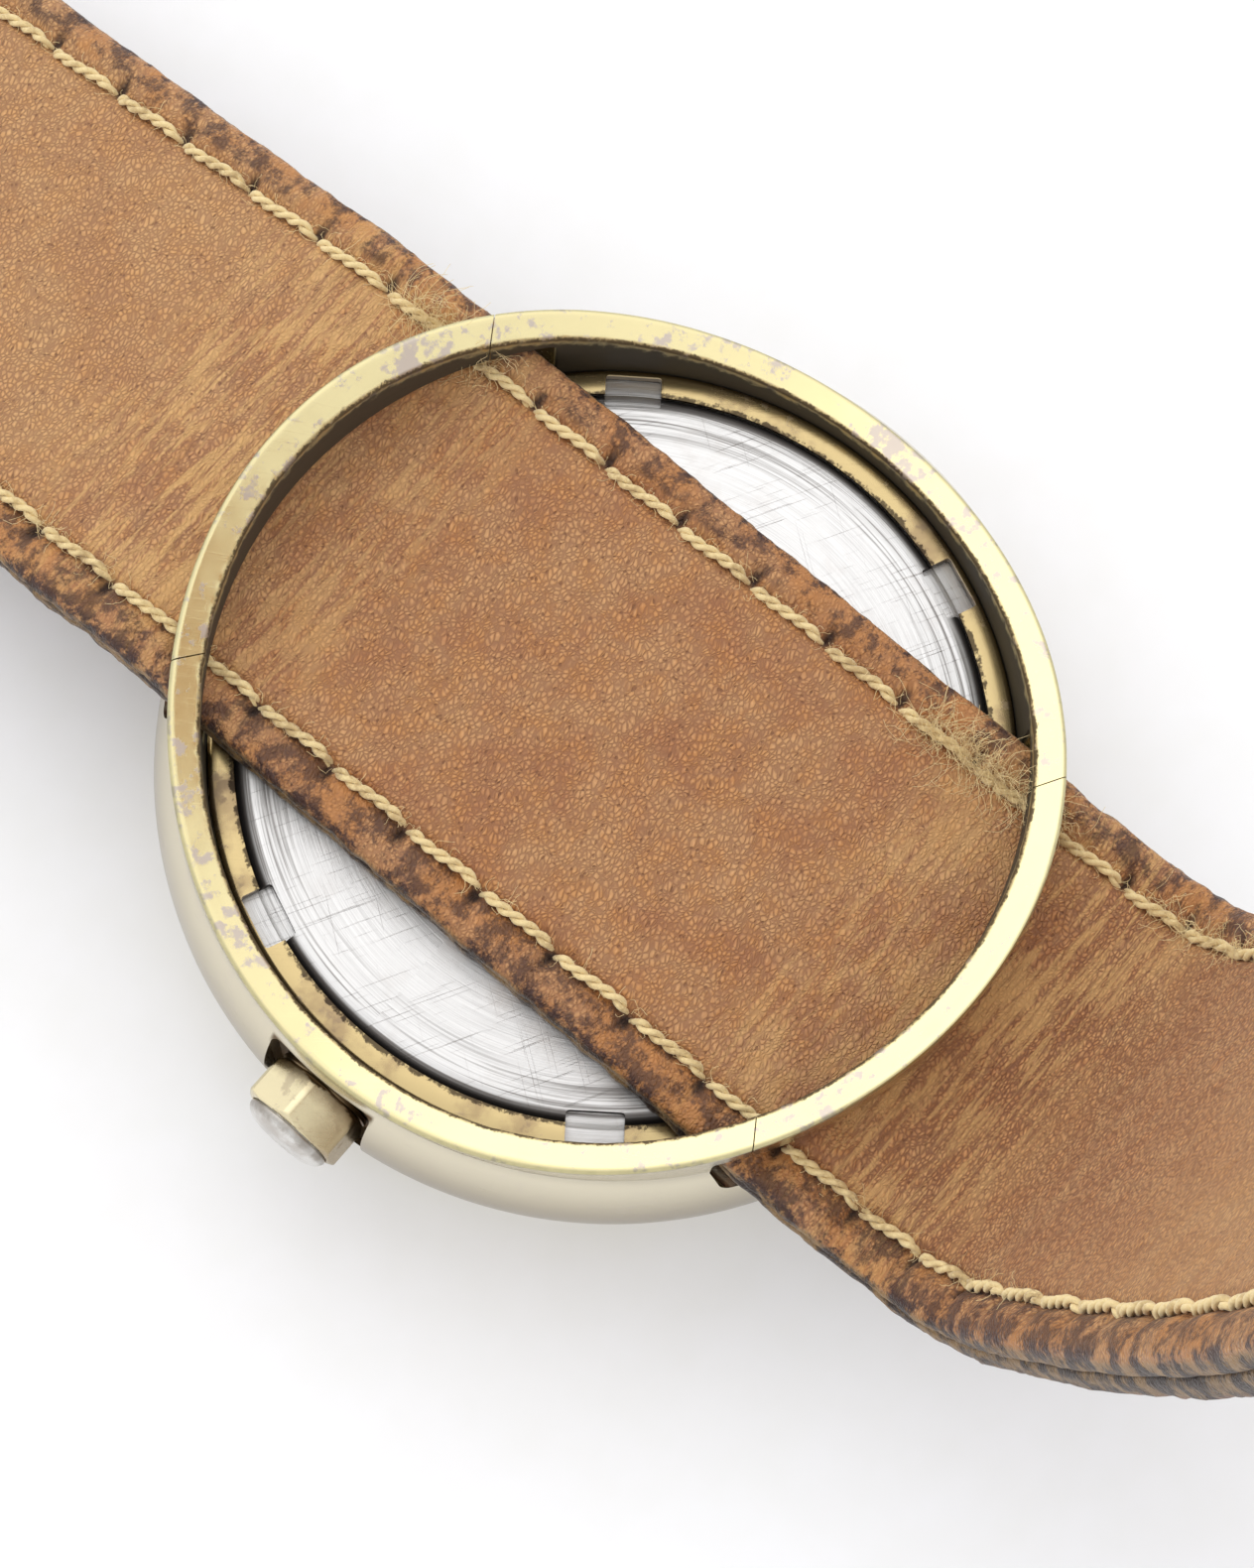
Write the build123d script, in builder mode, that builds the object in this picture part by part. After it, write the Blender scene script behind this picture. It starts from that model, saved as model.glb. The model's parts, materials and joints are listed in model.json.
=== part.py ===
# Round wristwatch with a one-piece strap that runs through its case, lying on its crystal.
# Origin: centre of the crystal's flat face.  +Z out of the case back, -X towards the crown,
# +Y towards twelve o'clock and the buckle.  Millimetres.
from build123d import *
import os
from math import cos, degrees, pi, radians, sin

os.makedirs("parts", exist_ok=True)

# ---- driving dimensions: case ----
rim_radius = 17.0            # outside of the rear rim
rim_inner_radius = 15.8
flank_radius = 18.0          # widest part of the barrel-shaped flank
wrist_radius = 33.4          # the rear rim follows the wrist
rim_low_z = 10.0             # rim height at three and nine o'clock
bar_under_z = 11.5           # underside of the bars over the strap
slot_floor_z = 8.5
slot_half_width = 10.45
cavity_radius = 14.25
ledge_z = 7.8                # seat of the gasket and the back
back_face_z = 8.8
bezel_z = 0.8
notch_first_angle = 37.3     # first wrench notch, the others follow every 60 degrees
notch_width = 2.25
notch_inner_radius = 14.2
bar_half_angle = 31.0
seam_lean = 5.95             # the bars' end joints slant by this many degrees each way
case_top = 17.0              # the blank reaches above the highest point of the rim

# ---- driving dimensions: strap ----
strap_width = 20.0
lining_thickness = 1.0       # wrist side
outer_thickness = 1.1        # side away from the wrist
strap_floor_z = 8.95         # underside of the strap over the case back
stitch_inset = 2.0
tail_length = 60.0           # straight tail beyond the bend

# ---- driving dimensions: movement and winding ----
stem_z = 6.5
plate_radius = 12.8
plate_low_z = 4.2
plate_top_z = 5.2
bridge_low_z = 6.95
bridge_top_z = 7.4
barrel_z = 5.65              # toothed flange of the barrel
winding_z = 7.45             # crown wheel, ratchet wheel and click, over the bridges
centre_wheel_z = 5.3
third_wheel_z = 6.0
fourth_wheel_z = 6.5
escape_z = 5.6               # escape wheel and pallet fork
balance_z = 6.15
motion_z = 4.3               # cannon pinion and minute wheel, under the dial
hour_wheel_z = 3.95
keyless_z = 5.3              # setting lever and yoke
pallet_bridge_z = 5.82
jewel_low_z = 7.1
hour_hand_z = 2.9
minute_hand_z = 2.45
seconds_hand_z = 3.25
pivot_radius = 0.22
pivot_clearance = 0.05

# ---- driving dimensions: buckle ----
bar_tip_radius = 0.45
buckle_tilt = 9.5            # the frame leans down onto the table
frame_reach = 9.2
frame_thickness = 1.9


def save(part, name):
    part.label = name
    export_step(part, f"parts/{name}.step")


def at(x, y, z):
    return Plane((x, y, z))


def facing_crown(x, y=0.0, z=stem_z):
    # sketch plane whose normal points out through the crown
    return Plane((x, y, z), x_dir=(0, -1, 0), z_dir=(-1, 0, 0))


def tooth_points(teeth, root_radius, tip_radius, share=0.4, phase=0.0):
    # trapezoid teeth: each takes this share of its pitch at the root, half of that at the tip
    points = []
    for tooth in range(teeth):
        middle = 2 * pi * (tooth + phase) / teeth
        for radius, offset in ((root_radius, -share), (tip_radius, -share / 2),
                               (tip_radius, share / 2), (root_radius, share)):
            angle = middle + offset * pi / teeth * 1.25
            points.append((radius * cos(angle), radius * sin(angle)))
    return points


def wheel(centre, z, thickness, teeth, pitch_radius, tooth, bore=0.0, spokes=0, phase=0.0, hub=0.7):
    with BuildPart() as blank:
        with BuildSketch(at(*centre, z)):
            with BuildLine():
                Polyline(*tooth_points(teeth, pitch_radius - tooth, pitch_radius + 0.6 * tooth,
                                       phase=phase), close=True)
            make_face()
            if bore:
                Circle(bore, mode=Mode.SUBTRACT)
        extrude(amount=thickness)
        if spokes:
            with BuildSketch(at(*centre, z)):
                Circle(pitch_radius - tooth - 0.4)
                Circle(hub, mode=Mode.SUBTRACT)
                with PolarLocations(0, spokes):
                    Rectangle(pitch_radius, 0.4, align=(Align.MIN, Align.CENTER), mode=Mode.SUBTRACT)
            extrude(amount=thickness, mode=Mode.SUBTRACT)
    return blank.part


def post(centre, z_low, z_high, radius):
    with BuildPart() as shaft:
        with BuildSketch(at(*centre, z_low)):
            Circle(radius)
        extrude(amount=z_high - z_low)
    return shaft.part


def ring(z_low, z_high, inner, outer, centre=(0, 0)):
    with BuildPart() as band:
        with BuildSketch(at(*centre, z_low)):
            Circle(outer)
            Circle(inner, mode=Mode.SUBTRACT)
        extrude(amount=z_high - z_low)
    return band.part


def spiral_spring(centre, z, height, first_radius, pitch, half_turns, thickness):
    # half rings of growing radius, alternately centred half a pitch to either side
    with BuildPart() as spring:
        with BuildSketch(at(*centre, z)):
            for half in range(half_turns):
                radius = first_radius + half * pitch / 2
                shift = 0.0 if half % 2 == 0 else -pitch / 2
                start = 0 if half % 2 == 0 else 180
                with BuildLine():
                    far = CenterArc((shift, 0), radius + thickness / 2, start, 180)
                    near = CenterArc((shift, 0), radius - thickness / 2, start, 180)
                    Line(far @ 0, near @ 0)
                    Line(far @ 1, near @ 1)
                make_face()
        extrude(amount=height)
    return spring.part


# ---- case ----
with BuildPart() as wrist:
    with BuildSketch(Plane.YZ.offset(-30)):
        with Locations((0, rim_low_z + wrist_radius)):
            Circle(wrist_radius)
    extrude(amount=60)
wrist_cut = wrist.part

bar_wedges = []
for middle in (90, -90):
    with BuildPart() as wedge:
        with BuildSketch(at(0, 0, bar_under_z)):
            with BuildLine():
                corners = []
                for radius, lean in ((13.0, -1), (20.0, 1)):
                    reach = bar_half_angle + lean * seam_lean
                    corners.append([(radius * cos(radians(middle + side * reach)),
                                     radius * sin(radians(middle + side * reach))) for side in (-1, 1)])
                Polyline(corners[0][0], corners[1][0], (0, corners[1][0][1] * 1.6), corners[1][1],
                         corners[0][1], close=True)
            make_face()
        extrude(amount=8)
    bar_wedges.append(wedge.part)

with BuildPart() as case_body:
    with BuildSketch(Plane.XZ):
        with BuildLine():
            Polyline((14.4, 1.2), (14.8, bezel_z), (15.7, bezel_z), (16.3, 1.25))
            ThreePointArc((16.3, 1.25), (flank_radius, 6.2), (rim_radius, 9.7))
            Polyline((rim_radius, 9.7), (rim_radius, case_top), (rim_inner_radius, case_top),
                     (rim_inner_radius, ledge_z), (cavity_radius, ledge_z), (cavity_radius, 3.35),
                     (13.6, 3.35), (13.6, 2.65), (14.4, 2.65), (14.4, 1.2))
        make_face()
    revolve(axis=Axis.Z)
    add(wrist_cut, mode=Mode.SUBTRACT)
    for side in (1, -1):
        with BuildSketch(Plane.XZ.offset(-side * 19)):
            with Locations((0, (slot_floor_z + bar_under_z) / 2)):
                Rectangle(2 * slot_half_width, bar_under_z - slot_floor_z)
        extrude(amount=side * 8, mode=Mode.SUBTRACT)
    for wedge_part in bar_wedges:
        add(wedge_part, mode=Mode.SUBTRACT)
    # pocket for the crown, and the bore for its tube
    with BuildSketch(facing_crown(-16.9)):
        with Locations((0, 0.1)):
            RectangleRounded(4.9, 5.5, 0.5)
    extrude(amount=3, mode=Mode.SUBTRACT)
    with BuildSketch(facing_crown(-13)):
        Circle(1.25)
    extrude(amount=5, mode=Mode.SUBTRACT)
save(case_body.part, "case_body")

for wedge_part, hour in zip(bar_wedges, (12, 6)):
    with BuildPart() as strap_bar:
        add(ring(bar_under_z, case_top, rim_inner_radius, rim_radius))
        add(wrist_cut, mode=Mode.SUBTRACT)
        add(wedge_part, mode=Mode.INTERSECT)
    save(strap_bar.part, f"strap_bar_{hour}")

with BuildPart() as case_back:
    with BuildSketch(Plane.XZ):
        with BuildLine():
            Polyline((0, 8.0), (15.6, 8.0), (15.6, 8.35), (14.75, 8.35), (14.55, back_face_z),
                     (14.1, back_face_z + 0.06), (0, back_face_z + 0.06), (0, 8.0))
        make_face()
    revolve(axis=Axis.Z)
    with BuildSketch(at(0, 0, 8.35)):
        with PolarLocations(notch_inner_radius, 6, start_angle=notch_first_angle):
            Rectangle(1.5, notch_width, align=(Align.MIN, Align.CENTER))
    extrude(amount=1, mode=Mode.SUBTRACT)
save(case_back.part, "case_back")

with BuildPart() as back_lock_ring:
    with BuildSketch(Plane.XZ):
        with BuildLine():
            Polyline((14.85, 8.4), (15.75, 8.4), (15.75, 8.75), (15.6, 8.85), (14.7, 8.85), close=True)
        make_face()
    revolve(axis=Axis.Z)
    with BuildSketch(at(0, 0, 8.3)):
        with PolarLocations(notch_inner_radius, 6, start_angle=notch_first_angle):
            Rectangle(1.3, notch_width, align=(Align.MIN, Align.CENTER))
    extrude(amount=1, mode=Mode.SUBTRACT)
save(back_lock_ring.part, "back_lock_ring")

save(ring(ledge_z, 8.0, 14.6, 15.5), "back_gasket")

with BuildPart() as crystal:
    with BuildSketch(Plane.XZ):
        with BuildLine():
            Polyline((0, 0), (13.4, 0), (14.3, 0.7), (14.3, 2.6), (13.65, 2.6), (13.65, 1.3),
                     (13.3, 1.1), (0, 1.1), close=True)
        make_face()
    revolve(axis=Axis.Z)
save(crystal.part, "crystal")

with BuildPart() as crystal_ring:
    with BuildSketch(Plane.XZ):
        with BuildLine():
            Polyline((13.6, 1.4), (13.6, 3.3), (12.7, 3.3), (13.2, 1.4), close=True)
        make_face()
    revolve(axis=Axis.Z)
save(crystal_ring.part, "crystal_tension_ring")

with BuildPart() as crown_tube:
    with BuildSketch(facing_crown(-13.9)):
        Circle(1.25)
        Circle(0.85, mode=Mode.SUBTRACT)
    extrude(amount=3.0)
save(crown_tube.part, "crown_tube")

# ---- dial and hands: seen from below, the crystal side ----
seconds_centre = (0, -6.6)
dial_low_z = 3.45
with BuildPart() as dial:
    with BuildSketch(at(0, 0, dial_low_z)):
        Circle(14.0)
        Circle(1.0, mode=Mode.SUBTRACT)
        with Locations(seconds_centre):
            Circle(0.35, mode=Mode.SUBTRACT)
    extrude(amount=0.35)
save(dial.part, "dial")

with BuildPart() as hour_markers:
    with BuildSketch(at(0, 0, dial_low_z - 0.15)):
        with PolarLocations(11.3, 12, start_angle=30):
            Rectangle(2.0, 0.55)
        with Locations((0, -11.3)):
            Rectangle(1.0, 3.0, mode=Mode.SUBTRACT)
    extrude(amount=0.15)
save(hour_markers.part, "hour_markers")


def hand(centre, z, thickness, length, tail, width, hub_radius, angle, bore):
    # a tapered baton on a round hub, pointing at this angle seen from the back
    with BuildPart() as baton:
        with BuildSketch(Plane((*centre, z), x_dir=(cos(radians(angle)), sin(radians(angle)), 0))):
            with BuildLine():
                Polyline((-tail, -width / 3), (length * 0.75, -width / 2), (length, 0),
                         (length * 0.75, width / 2), (-tail, width / 3), close=True)
            make_face()
            Circle(hub_radius)
            Circle(bore, mode=Mode.SUBTRACT)
        extrude(amount=thickness)
    return baton.part


save(hand((0, 0), hour_hand_z, 0.15, 7.2, 1.2, 0.9, 1.0, 147, 0.72), "hour_hand")
save(hand((0, 0), minute_hand_z, 0.15, 10.4, 1.6, 0.8, 0.8, 30, 0.42), "minute_hand")
save(hand(seconds_centre, seconds_hand_z, 0.08, 2.8, 0.9, 0.22, 0.4, -60, 0.15), "seconds_hand")

# ---- movement: wheels at their meshing distances ----
barrel_centre = (-1.06, 6.0)
third_centre = (-1.811, -3.723)
escape_centre = (3.2, -7.3)
pallet_centre = (5.04, -5.25)
balance_centre = (7.6, -2.4)
crown_wheel_centre = (-7.6, 2.4)
minute_centre = (-2.05, -2.05)
click_centre = (5.9, 3.0)
lever_centre = (-9.3, -2.4)
yoke_centre = (-7.4, -3.9)
barrel_pillars = [(-9.3, 6.9), (6.2, 9.6)]
train_pillars = [(-6.5, -8.6), (0.1, -11.3)]
cock_foot = (9.4, 3.6)
pallet_bridge_middle = (6.1, -6.6)
pallet_bridge_span = 3.4
pallet_bridge_foot = (pallet_bridge_middle[0] + 0.3 * pallet_bridge_span,
                      pallet_bridge_middle[1] - 0.4 * pallet_bridge_span)

with BuildPart() as movement_holder:
    add(ring(4.25, 5.6, plate_radius + 0.05, 14.15))
    with BuildSketch(facing_crown(-12)):
        Circle(1.6)
    extrude(amount=3, mode=Mode.SUBTRACT)
save(movement_holder.part, "movement_holder_ring")

with BuildPart() as main_plate:
    with BuildSketch(at(0, 0, plate_low_z)):
        Circle(plate_radius)
    extrude(amount=plate_top_z - plate_low_z)
    with BuildSketch(at(0, 0, plate_low_z)):
        Circle(2.75)
        with Locations(minute_centre):
            Circle(2.6)
    extrude(amount=0.45, mode=Mode.SUBTRACT)
    for centre in (third_centre, escape_centre, pallet_centre, balance_centre, barrel_centre,
                   seconds_centre):
        with BuildSketch(at(*centre, plate_low_z)):
            Circle(pivot_radius + pivot_clearance)
        extrude(amount=1, mode=Mode.SUBTRACT)
    with BuildSketch(at(0, 0, plate_low_z)):
        Circle(0.5)
    extrude(amount=1, mode=Mode.SUBTRACT)
    # bearing block of the stem
    with BuildSketch(at(-11.6, 0, plate_top_z)):
        Rectangle(1.6, 2.4)
    extrude(amount=2.2)
    with BuildSketch(facing_crown(-10)):
        Circle(0.65)
    extrude(amount=4, mode=Mode.SUBTRACT)
save(main_plate.part, "main_plate")


def bridge(outline_part, pillars, holes, screw_holes):
    with BuildPart() as plate:
        add(outline_part)
        for centre in pillars:
            with BuildSketch(at(*centre, plate_top_z)):
                Circle(1.0)
            extrude(amount=bridge_low_z - plate_top_z)
        for centre, radius in holes:
            with BuildSketch(at(*centre, bridge_low_z)):
                Circle(radius)
            extrude(amount=1, mode=Mode.SUBTRACT)
        for centre in screw_holes:
            with BuildSketch(at(*centre, plate_top_z)):
                Circle(0.4)
            extrude(amount=3, mode=Mode.SUBTRACT)
    return plate.part


with BuildPart() as barrel_outline:
    with BuildSketch(at(0, 0, bridge_low_z)):
        Circle(12.3)
        with Locations((0, 1.4)):
            Rectangle(26, 15, align=(Align.CENTER, Align.MAX), mode=Mode.SUBTRACT)
        with Locations((9.4, 3.0)):
            Rectangle(6.4, 5.0, mode=Mode.SUBTRACT)
    extrude(amount=bridge_top_z - bridge_low_z)
save(bridge(barrel_outline.part, barrel_pillars, [(barrel_centre, 1.0), (crown_wheel_centre, 0.5),
                                                  (click_centre, 0.35)], barrel_pillars), "barrel_bridge")

with BuildPart() as train_outline:
    with BuildSketch(at(0, 0, bridge_low_z)):
        Circle(12.3)
        with Locations((-1.0, 7.2)):
            Rectangle(28, 18, mode=Mode.SUBTRACT)
        with Locations((8.8, -4)):
            Rectangle(8.6, 20, mode=Mode.SUBTRACT)
    extrude(amount=bridge_top_z - bridge_low_z)
save(bridge(train_outline.part, train_pillars, [(third_centre, 0.6), (seconds_centre, 0.6),
                                                (escape_centre, 0.6)], train_pillars), "train_bridge")

with BuildPart() as cock_outline:
    foot_x, foot_y = cock_foot
    middle = ((foot_x + balance_centre[0]) / 2, (foot_y + balance_centre[1]) / 2)
    reach = ((foot_x - balance_centre[0]) ** 2 + (foot_y - balance_centre[1]) ** 2) ** 0.5
    lean = (foot_x - balance_centre[0]) / reach
    run = (foot_y - balance_centre[1]) / reach
    with BuildSketch(Plane((*middle, bridge_low_z), x_dir=(lean, run, 0))):
        SlotCenterToCenter(reach, 2.6)
    extrude(amount=bridge_top_z - bridge_low_z)
save(bridge(cock_outline.part, [cock_foot], [(balance_centre, 0.6)], [cock_foot]), "balance_cock")

with BuildPart() as pallet_bridge:
    with BuildSketch(Plane((*pallet_bridge_middle, pallet_bridge_z), x_dir=(0.6, -0.8, 0))):
        SlotCenterToCenter(pallet_bridge_span, 1.0)
    extrude(amount=0.2)
    with BuildSketch(at(*pallet_bridge_foot, plate_top_z)):
        Circle(0.5)
    extrude(amount=pallet_bridge_z - plate_top_z)
    with BuildSketch(at(*pallet_centre, 5.8)):
        Circle(pivot_radius + pivot_clearance)
    extrude(amount=1, mode=Mode.SUBTRACT)
save(pallet_bridge.part, "pallet_bridge")

# barrel: toothed drum, spring, arbor
with BuildPart() as barrel:
    add(wheel(barrel_centre, barrel_z, 0.25, 76, 5.267, 0.13, bore=0.96))
    add(ring(barrel_z + 0.25, 6.85, 4.45, 4.75, barrel_centre))
save(barrel.part, "barrel")
save(spiral_spring(barrel_centre, 6.0, 0.75, 1.38, 0.42, 14, 0.16), "mainspring")

with BuildPart() as barrel_arbor:
    with BuildSketch(at(*barrel_centre, 5.3)):
        Circle(0.9)
    extrude(amount=2.15)
    with BuildSketch(at(*barrel_centre, 4.4)):
        Circle(pivot_radius)
    extrude(amount=1.0)
    with BuildSketch(at(*barrel_centre, winding_z)):
        Rectangle(1.0, 1.0)
    extrude(amount=0.28)
save(barrel_arbor.part, "barrel_arbor")

with BuildPart() as ratchet_wheel:
    add(wheel(barrel_centre, winding_z, 0.25, 52, 5.04, 0.17))
    with BuildSketch(at(*barrel_centre, 7.4)):
        Rectangle(1.02, 1.02)
    extrude(amount=1, mode=Mode.SUBTRACT)
save(ratchet_wheel.part, "ratchet_wheel")

with BuildPart() as crown_wheel:
    add(wheel(crown_wheel_centre, winding_z, 0.25, 25, 2.42, 0.17, phase=0.5 - 25 * 28.83 / 360))
    with BuildSketch(at(*crown_wheel_centre, 7.0)):
        Circle(0.4)
    extrude(amount=0.6)
save(crown_wheel.part, "crown_wheel")

with BuildPart() as click:
    with BuildSketch(Plane((*click_centre, winding_z), x_dir=(-0.8, 0.6, 0))):
        with BuildLine():
            Polyline((-0.7, -0.4), (1.5, -0.25), (1.72, 0.1), (1.5, 0.3), (-0.7, 0.5), close=True)
        make_face()
        Circle(0.6)
    extrude(amount=0.2)
    add(post(click_centre, 7.0, 7.5, 0.28))
save(click.part, "click")
with BuildPart() as click_spring:
    with BuildSketch(at(7.2, 6.9, winding_z)):
        Circle(0.5)
    extrude(amount=0.2)
    with BuildSketch(Plane((6.75, 5.3, winding_z), x_dir=(0.28, 0.96, 0))):
        Rectangle(3.0, 0.14)
    extrude(amount=0.15)
save(click_spring.part, "click_spring")

# going train
with BuildPart() as centre_wheel:
    add(wheel((0, 0), centre_wheel_z, 0.15, 64, 3.68, 0.1, spokes=4))
    add(wheel((0, 0), centre_wheel_z + 0.15, 0.65, 12, 0.832, 0.13, phase=0.5))
    add(post((0, 0), 4.7, 6.5, 0.4))
    add(post((0, 0), minute_hand_z, 4.8, 0.28))
save(centre_wheel.part, "centre_wheel")

with BuildPart() as third_wheel:
    add(wheel(third_centre, third_wheel_z, 0.15, 60, 3.0, 0.09, spokes=5))
    add(wheel(third_centre, 5.25, 0.3, 8, 0.46, 0.09, phase=0.5))
    add(post(third_centre, 4.75, 7.2, pivot_radius))
save(third_wheel.part, "third_wheel")

with BuildPart() as fourth_wheel:
    add(wheel(seconds_centre, fourth_wheel_z, 0.15, 70, 2.98, 0.08, spokes=5))
    add(wheel(seconds_centre, 5.9, 0.35, 8, 0.4, 0.08, phase=0.5))
    add(post(seconds_centre, 4.3, 7.2, pivot_radius))
    add(post(seconds_centre, seconds_hand_z, 4.4, 0.14))
save(fourth_wheel.part, "fourth_wheel")

with BuildPart() as escape_wheel:
    with BuildSketch(at(*escape_centre, escape_z)):
        with BuildLine():
            hooks = []
            for tooth in range(15):
                for radius, turn in ((1.55, 0.0), (2.1, 0.28), (2.1, 0.34), (1.55, 0.45)):
                    angle = 2 * pi * (tooth + turn) / 15
                    hooks.append((radius * cos(angle), radius * sin(angle)))
            Polyline(*hooks, close=True)
        make_face()
        Circle(1.2, mode=Mode.SUBTRACT)
        with PolarLocations(0, 4):
            Rectangle(1.3, 0.25, align=(Align.MIN, Align.CENTER))
        Circle(0.45)
    extrude(amount=0.15)
    add(wheel(escape_centre, 6.45, 0.3, 7, 0.298, 0.06, phase=0.5))
    add(post(escape_centre, 4.4, 7.2, 0.17))
save(escape_wheel.part, "escape_wheel")

with BuildPart() as pallet_fork:
    with BuildSketch(Plane((*pallet_centre, escape_z), x_dir=(0.668, 0.744, 0))):
        Rectangle(2.4, 0.3, align=(Align.MIN, Align.CENTER))
        with Locations((2.4, 0.22), (2.4, -0.22)):
            Rectangle(0.4, 0.14)
        with Locations((2.2, 0)):
            Rectangle(0.14, 0.58)
        Rectangle(0.34, 3.0)
        with Locations((-0.28, 1.4), (-0.28, -1.4)):
            Rectangle(0.5, 0.22)
        Circle(0.42)
    extrude(amount=0.15)
    add(post(pallet_centre, 4.5, 6.0, 0.17))
save(pallet_fork.part, "pallet_fork")

with BuildPart() as balance_wheel:
    add(ring(balance_z, balance_z + 0.3, 3.45, 3.8, balance_centre))
    with BuildSketch(at(*balance_centre, balance_z + 0.05)):
        Rectangle(7.2, 0.6)
        Circle(0.7)
    extrude(amount=0.2)
    add(post(balance_centre, 5.86, 6.0, 0.75))
    add(post(balance_centre, 4.5, 7.2, pivot_radius))
save(balance_wheel.part, "balance_wheel")
save(spiral_spring(balance_centre, 6.62, 0.12, 0.55, 0.34, 10, 0.07), "hairspring")

# motion work under the dial
with BuildPart() as cannon_pinion:
    add(wheel((0, 0), motion_z, 0.3, 12, 0.725, 0.13, bore=0.31))
    add(ring(minute_hand_z, motion_z, 0.3, 0.41))
save(cannon_pinion.part, "cannon_pinion")
with BuildPart() as minute_wheel:
    add(wheel(minute_centre, motion_z, 0.2, 36, 2.175, 0.11, phase=0.5 + 36 * 45 / 360))
    add(wheel(minute_centre, motion_z - 0.4, 0.4, 10, 0.58, 0.11))
save(minute_wheel.part, "minute_wheel")
with BuildPart() as hour_wheel:
    add(wheel((0, 0), hour_wheel_z, 0.18, 40, 2.32, 0.11, bore=0.45, phase=0.5))
    add(ring(hour_hand_z, hour_wheel_z, 0.46, 0.71))
save(hour_wheel.part, "hour_wheel")

with BuildPart() as jewels:
    for centre in (third_centre, seconds_centre, escape_centre, balance_centre):
        add(ring(jewel_low_z, bridge_top_z, 0.27, 0.6, centre))
save(jewels.part, "jewels")

with BuildPart() as bridge_screws:
    for centre in barrel_pillars + train_pillars + [cock_foot]:
        add(post(centre, plate_top_z + 0.05, bridge_top_z, 0.38))
        add(post(centre, bridge_top_z, bridge_top_z + 0.3, 0.8))
        with BuildSketch(at(*centre, bridge_top_z + 0.15)):
            Rectangle(1.7, 0.2)
        extrude(amount=1, mode=Mode.SUBTRACT)
save(bridge_screws.part, "bridge_screws")

# ---- winding and setting ----
def turned(x_start, sections):
    # a turned part on the stem axis: (length, radius) sections from the inner end outwards
    with BuildPart() as shaft:
        x = x_start
        for length, radius in sections:
            with BuildSketch(facing_crown(x)):
                Circle(radius)
            extrude(amount=length)
            x -= length
    return shaft.part


save(turned(-5.0, [(7.4, 0.45), (0.5, 0.32), (0.6, 0.55), (3.9, 0.45)]), "winding_stem")


def stem_gear(x_start, length, teeth, radius, groove=0.0):
    with BuildPart() as gear:
        with BuildSketch(facing_crown(x_start)):
            with BuildLine():
                Polyline(*tooth_points(teeth, radius - 0.2, radius), close=True)
            make_face()
            Circle(0.5, mode=Mode.SUBTRACT)
        extrude(amount=length)
        if groove:
            with BuildSketch(facing_crown(x_start - length / 2 + groove / 2)):
                Circle(radius + 0.1)
                Circle(radius - 0.3, mode=Mode.SUBTRACT)
            extrude(amount=groove, mode=Mode.SUBTRACT)
    return gear.part


save(stem_gear(-7.2, 1.1, 13, 0.9), "winding_pinion")
save(stem_gear(-5.6, 1.2, 12, 0.85, groove=0.4), "sliding_clutch")

with BuildPart() as setting_lever:
    with BuildSketch(at(*lever_centre, keyless_z)):
        Circle(0.7)
        with Locations((0, 0.9)):
            Rectangle(0.8, 1.8)
    extrude(amount=0.3)
    add(post((lever_centre[0], lever_centre[1] + 1.5), 5.5, 5.85, 0.18))
save(setting_lever.part, "setting_lever")
with BuildPart() as yoke:
    with BuildSketch(Plane((*yoke_centre, keyless_z), x_dir=(0.38, 0.925, 0))):
        Rectangle(2.6, 0.5, align=(Align.MIN, Align.CENTER))
        Circle(0.5)
    extrude(amount=0.25)
save(yoke.part, "yoke")

# crown: hexagonal head with a chamfered inner end, a domed cap outside
hex_corner_radius = 2.3
hex_start_x = -17.2
hex_end_x = -19.1
cap_height = 0.65
dome_radius = 3.7
stem_bore_radius = 0.46
with BuildPart() as turned_head:
    with BuildSketch(Plane((0, 0, stem_z), x_dir=(-1, 0, 0), z_dir=(0, 1, 0))):
        with BuildLine():
            Polyline((-hex_start_x, 0), (-hex_start_x, 1.75), (-hex_start_x + 0.5, 2.35),
                     (-hex_end_x - 0.12, 2.35), (-hex_end_x, 2.12), (-hex_end_x, 0), close=True)
        make_face()
    revolve(axis=Axis((0, 0, stem_z), (1, 0, 0)))

with BuildPart() as crown:
    with BuildSketch(facing_crown(hex_start_x)):
        RegularPolygon(hex_corner_radius, 6, rotation=95)
    extrude(amount=hex_start_x - hex_end_x)
    add(turned_head.part, mode=Mode.INTERSECT)
    # (x, radius, length) of the flange, the neck behind the head and the shank in the tube
    for start_x, radius, length in ((-16.95, 2.05, 0.16), (-17.1, 1.55, 0.15), (-15.7, 0.8, 1.3)):
        with BuildSketch(facing_crown(start_x)):
            Circle(radius)
        extrude(amount=length)
    with BuildSketch(facing_crown(-15.6)):
        Circle(stem_bore_radius)
    extrude(amount=1.9, mode=Mode.SUBTRACT)
save(crown.part, "crown")

with BuildPart() as crown_cap:
    with BuildSketch(facing_crown(hex_end_x)):
        Circle(1.85)
    extrude(amount=cap_height)
    with Locations((hex_end_x - cap_height + dome_radius, 0, stem_z)):
        Sphere(dome_radius, mode=Mode.INTERSECT)
save(crown_cap.part, "crown_cap")

with BuildPart() as crown_seal:
    with BuildSketch(facing_crown(-14.6)):
        Circle(0.8)
        Circle(0.47, mode=Mode.SUBTRACT)
    extrude(amount=0.5)
save(crown_seal.part, "crown_seal")

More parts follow.
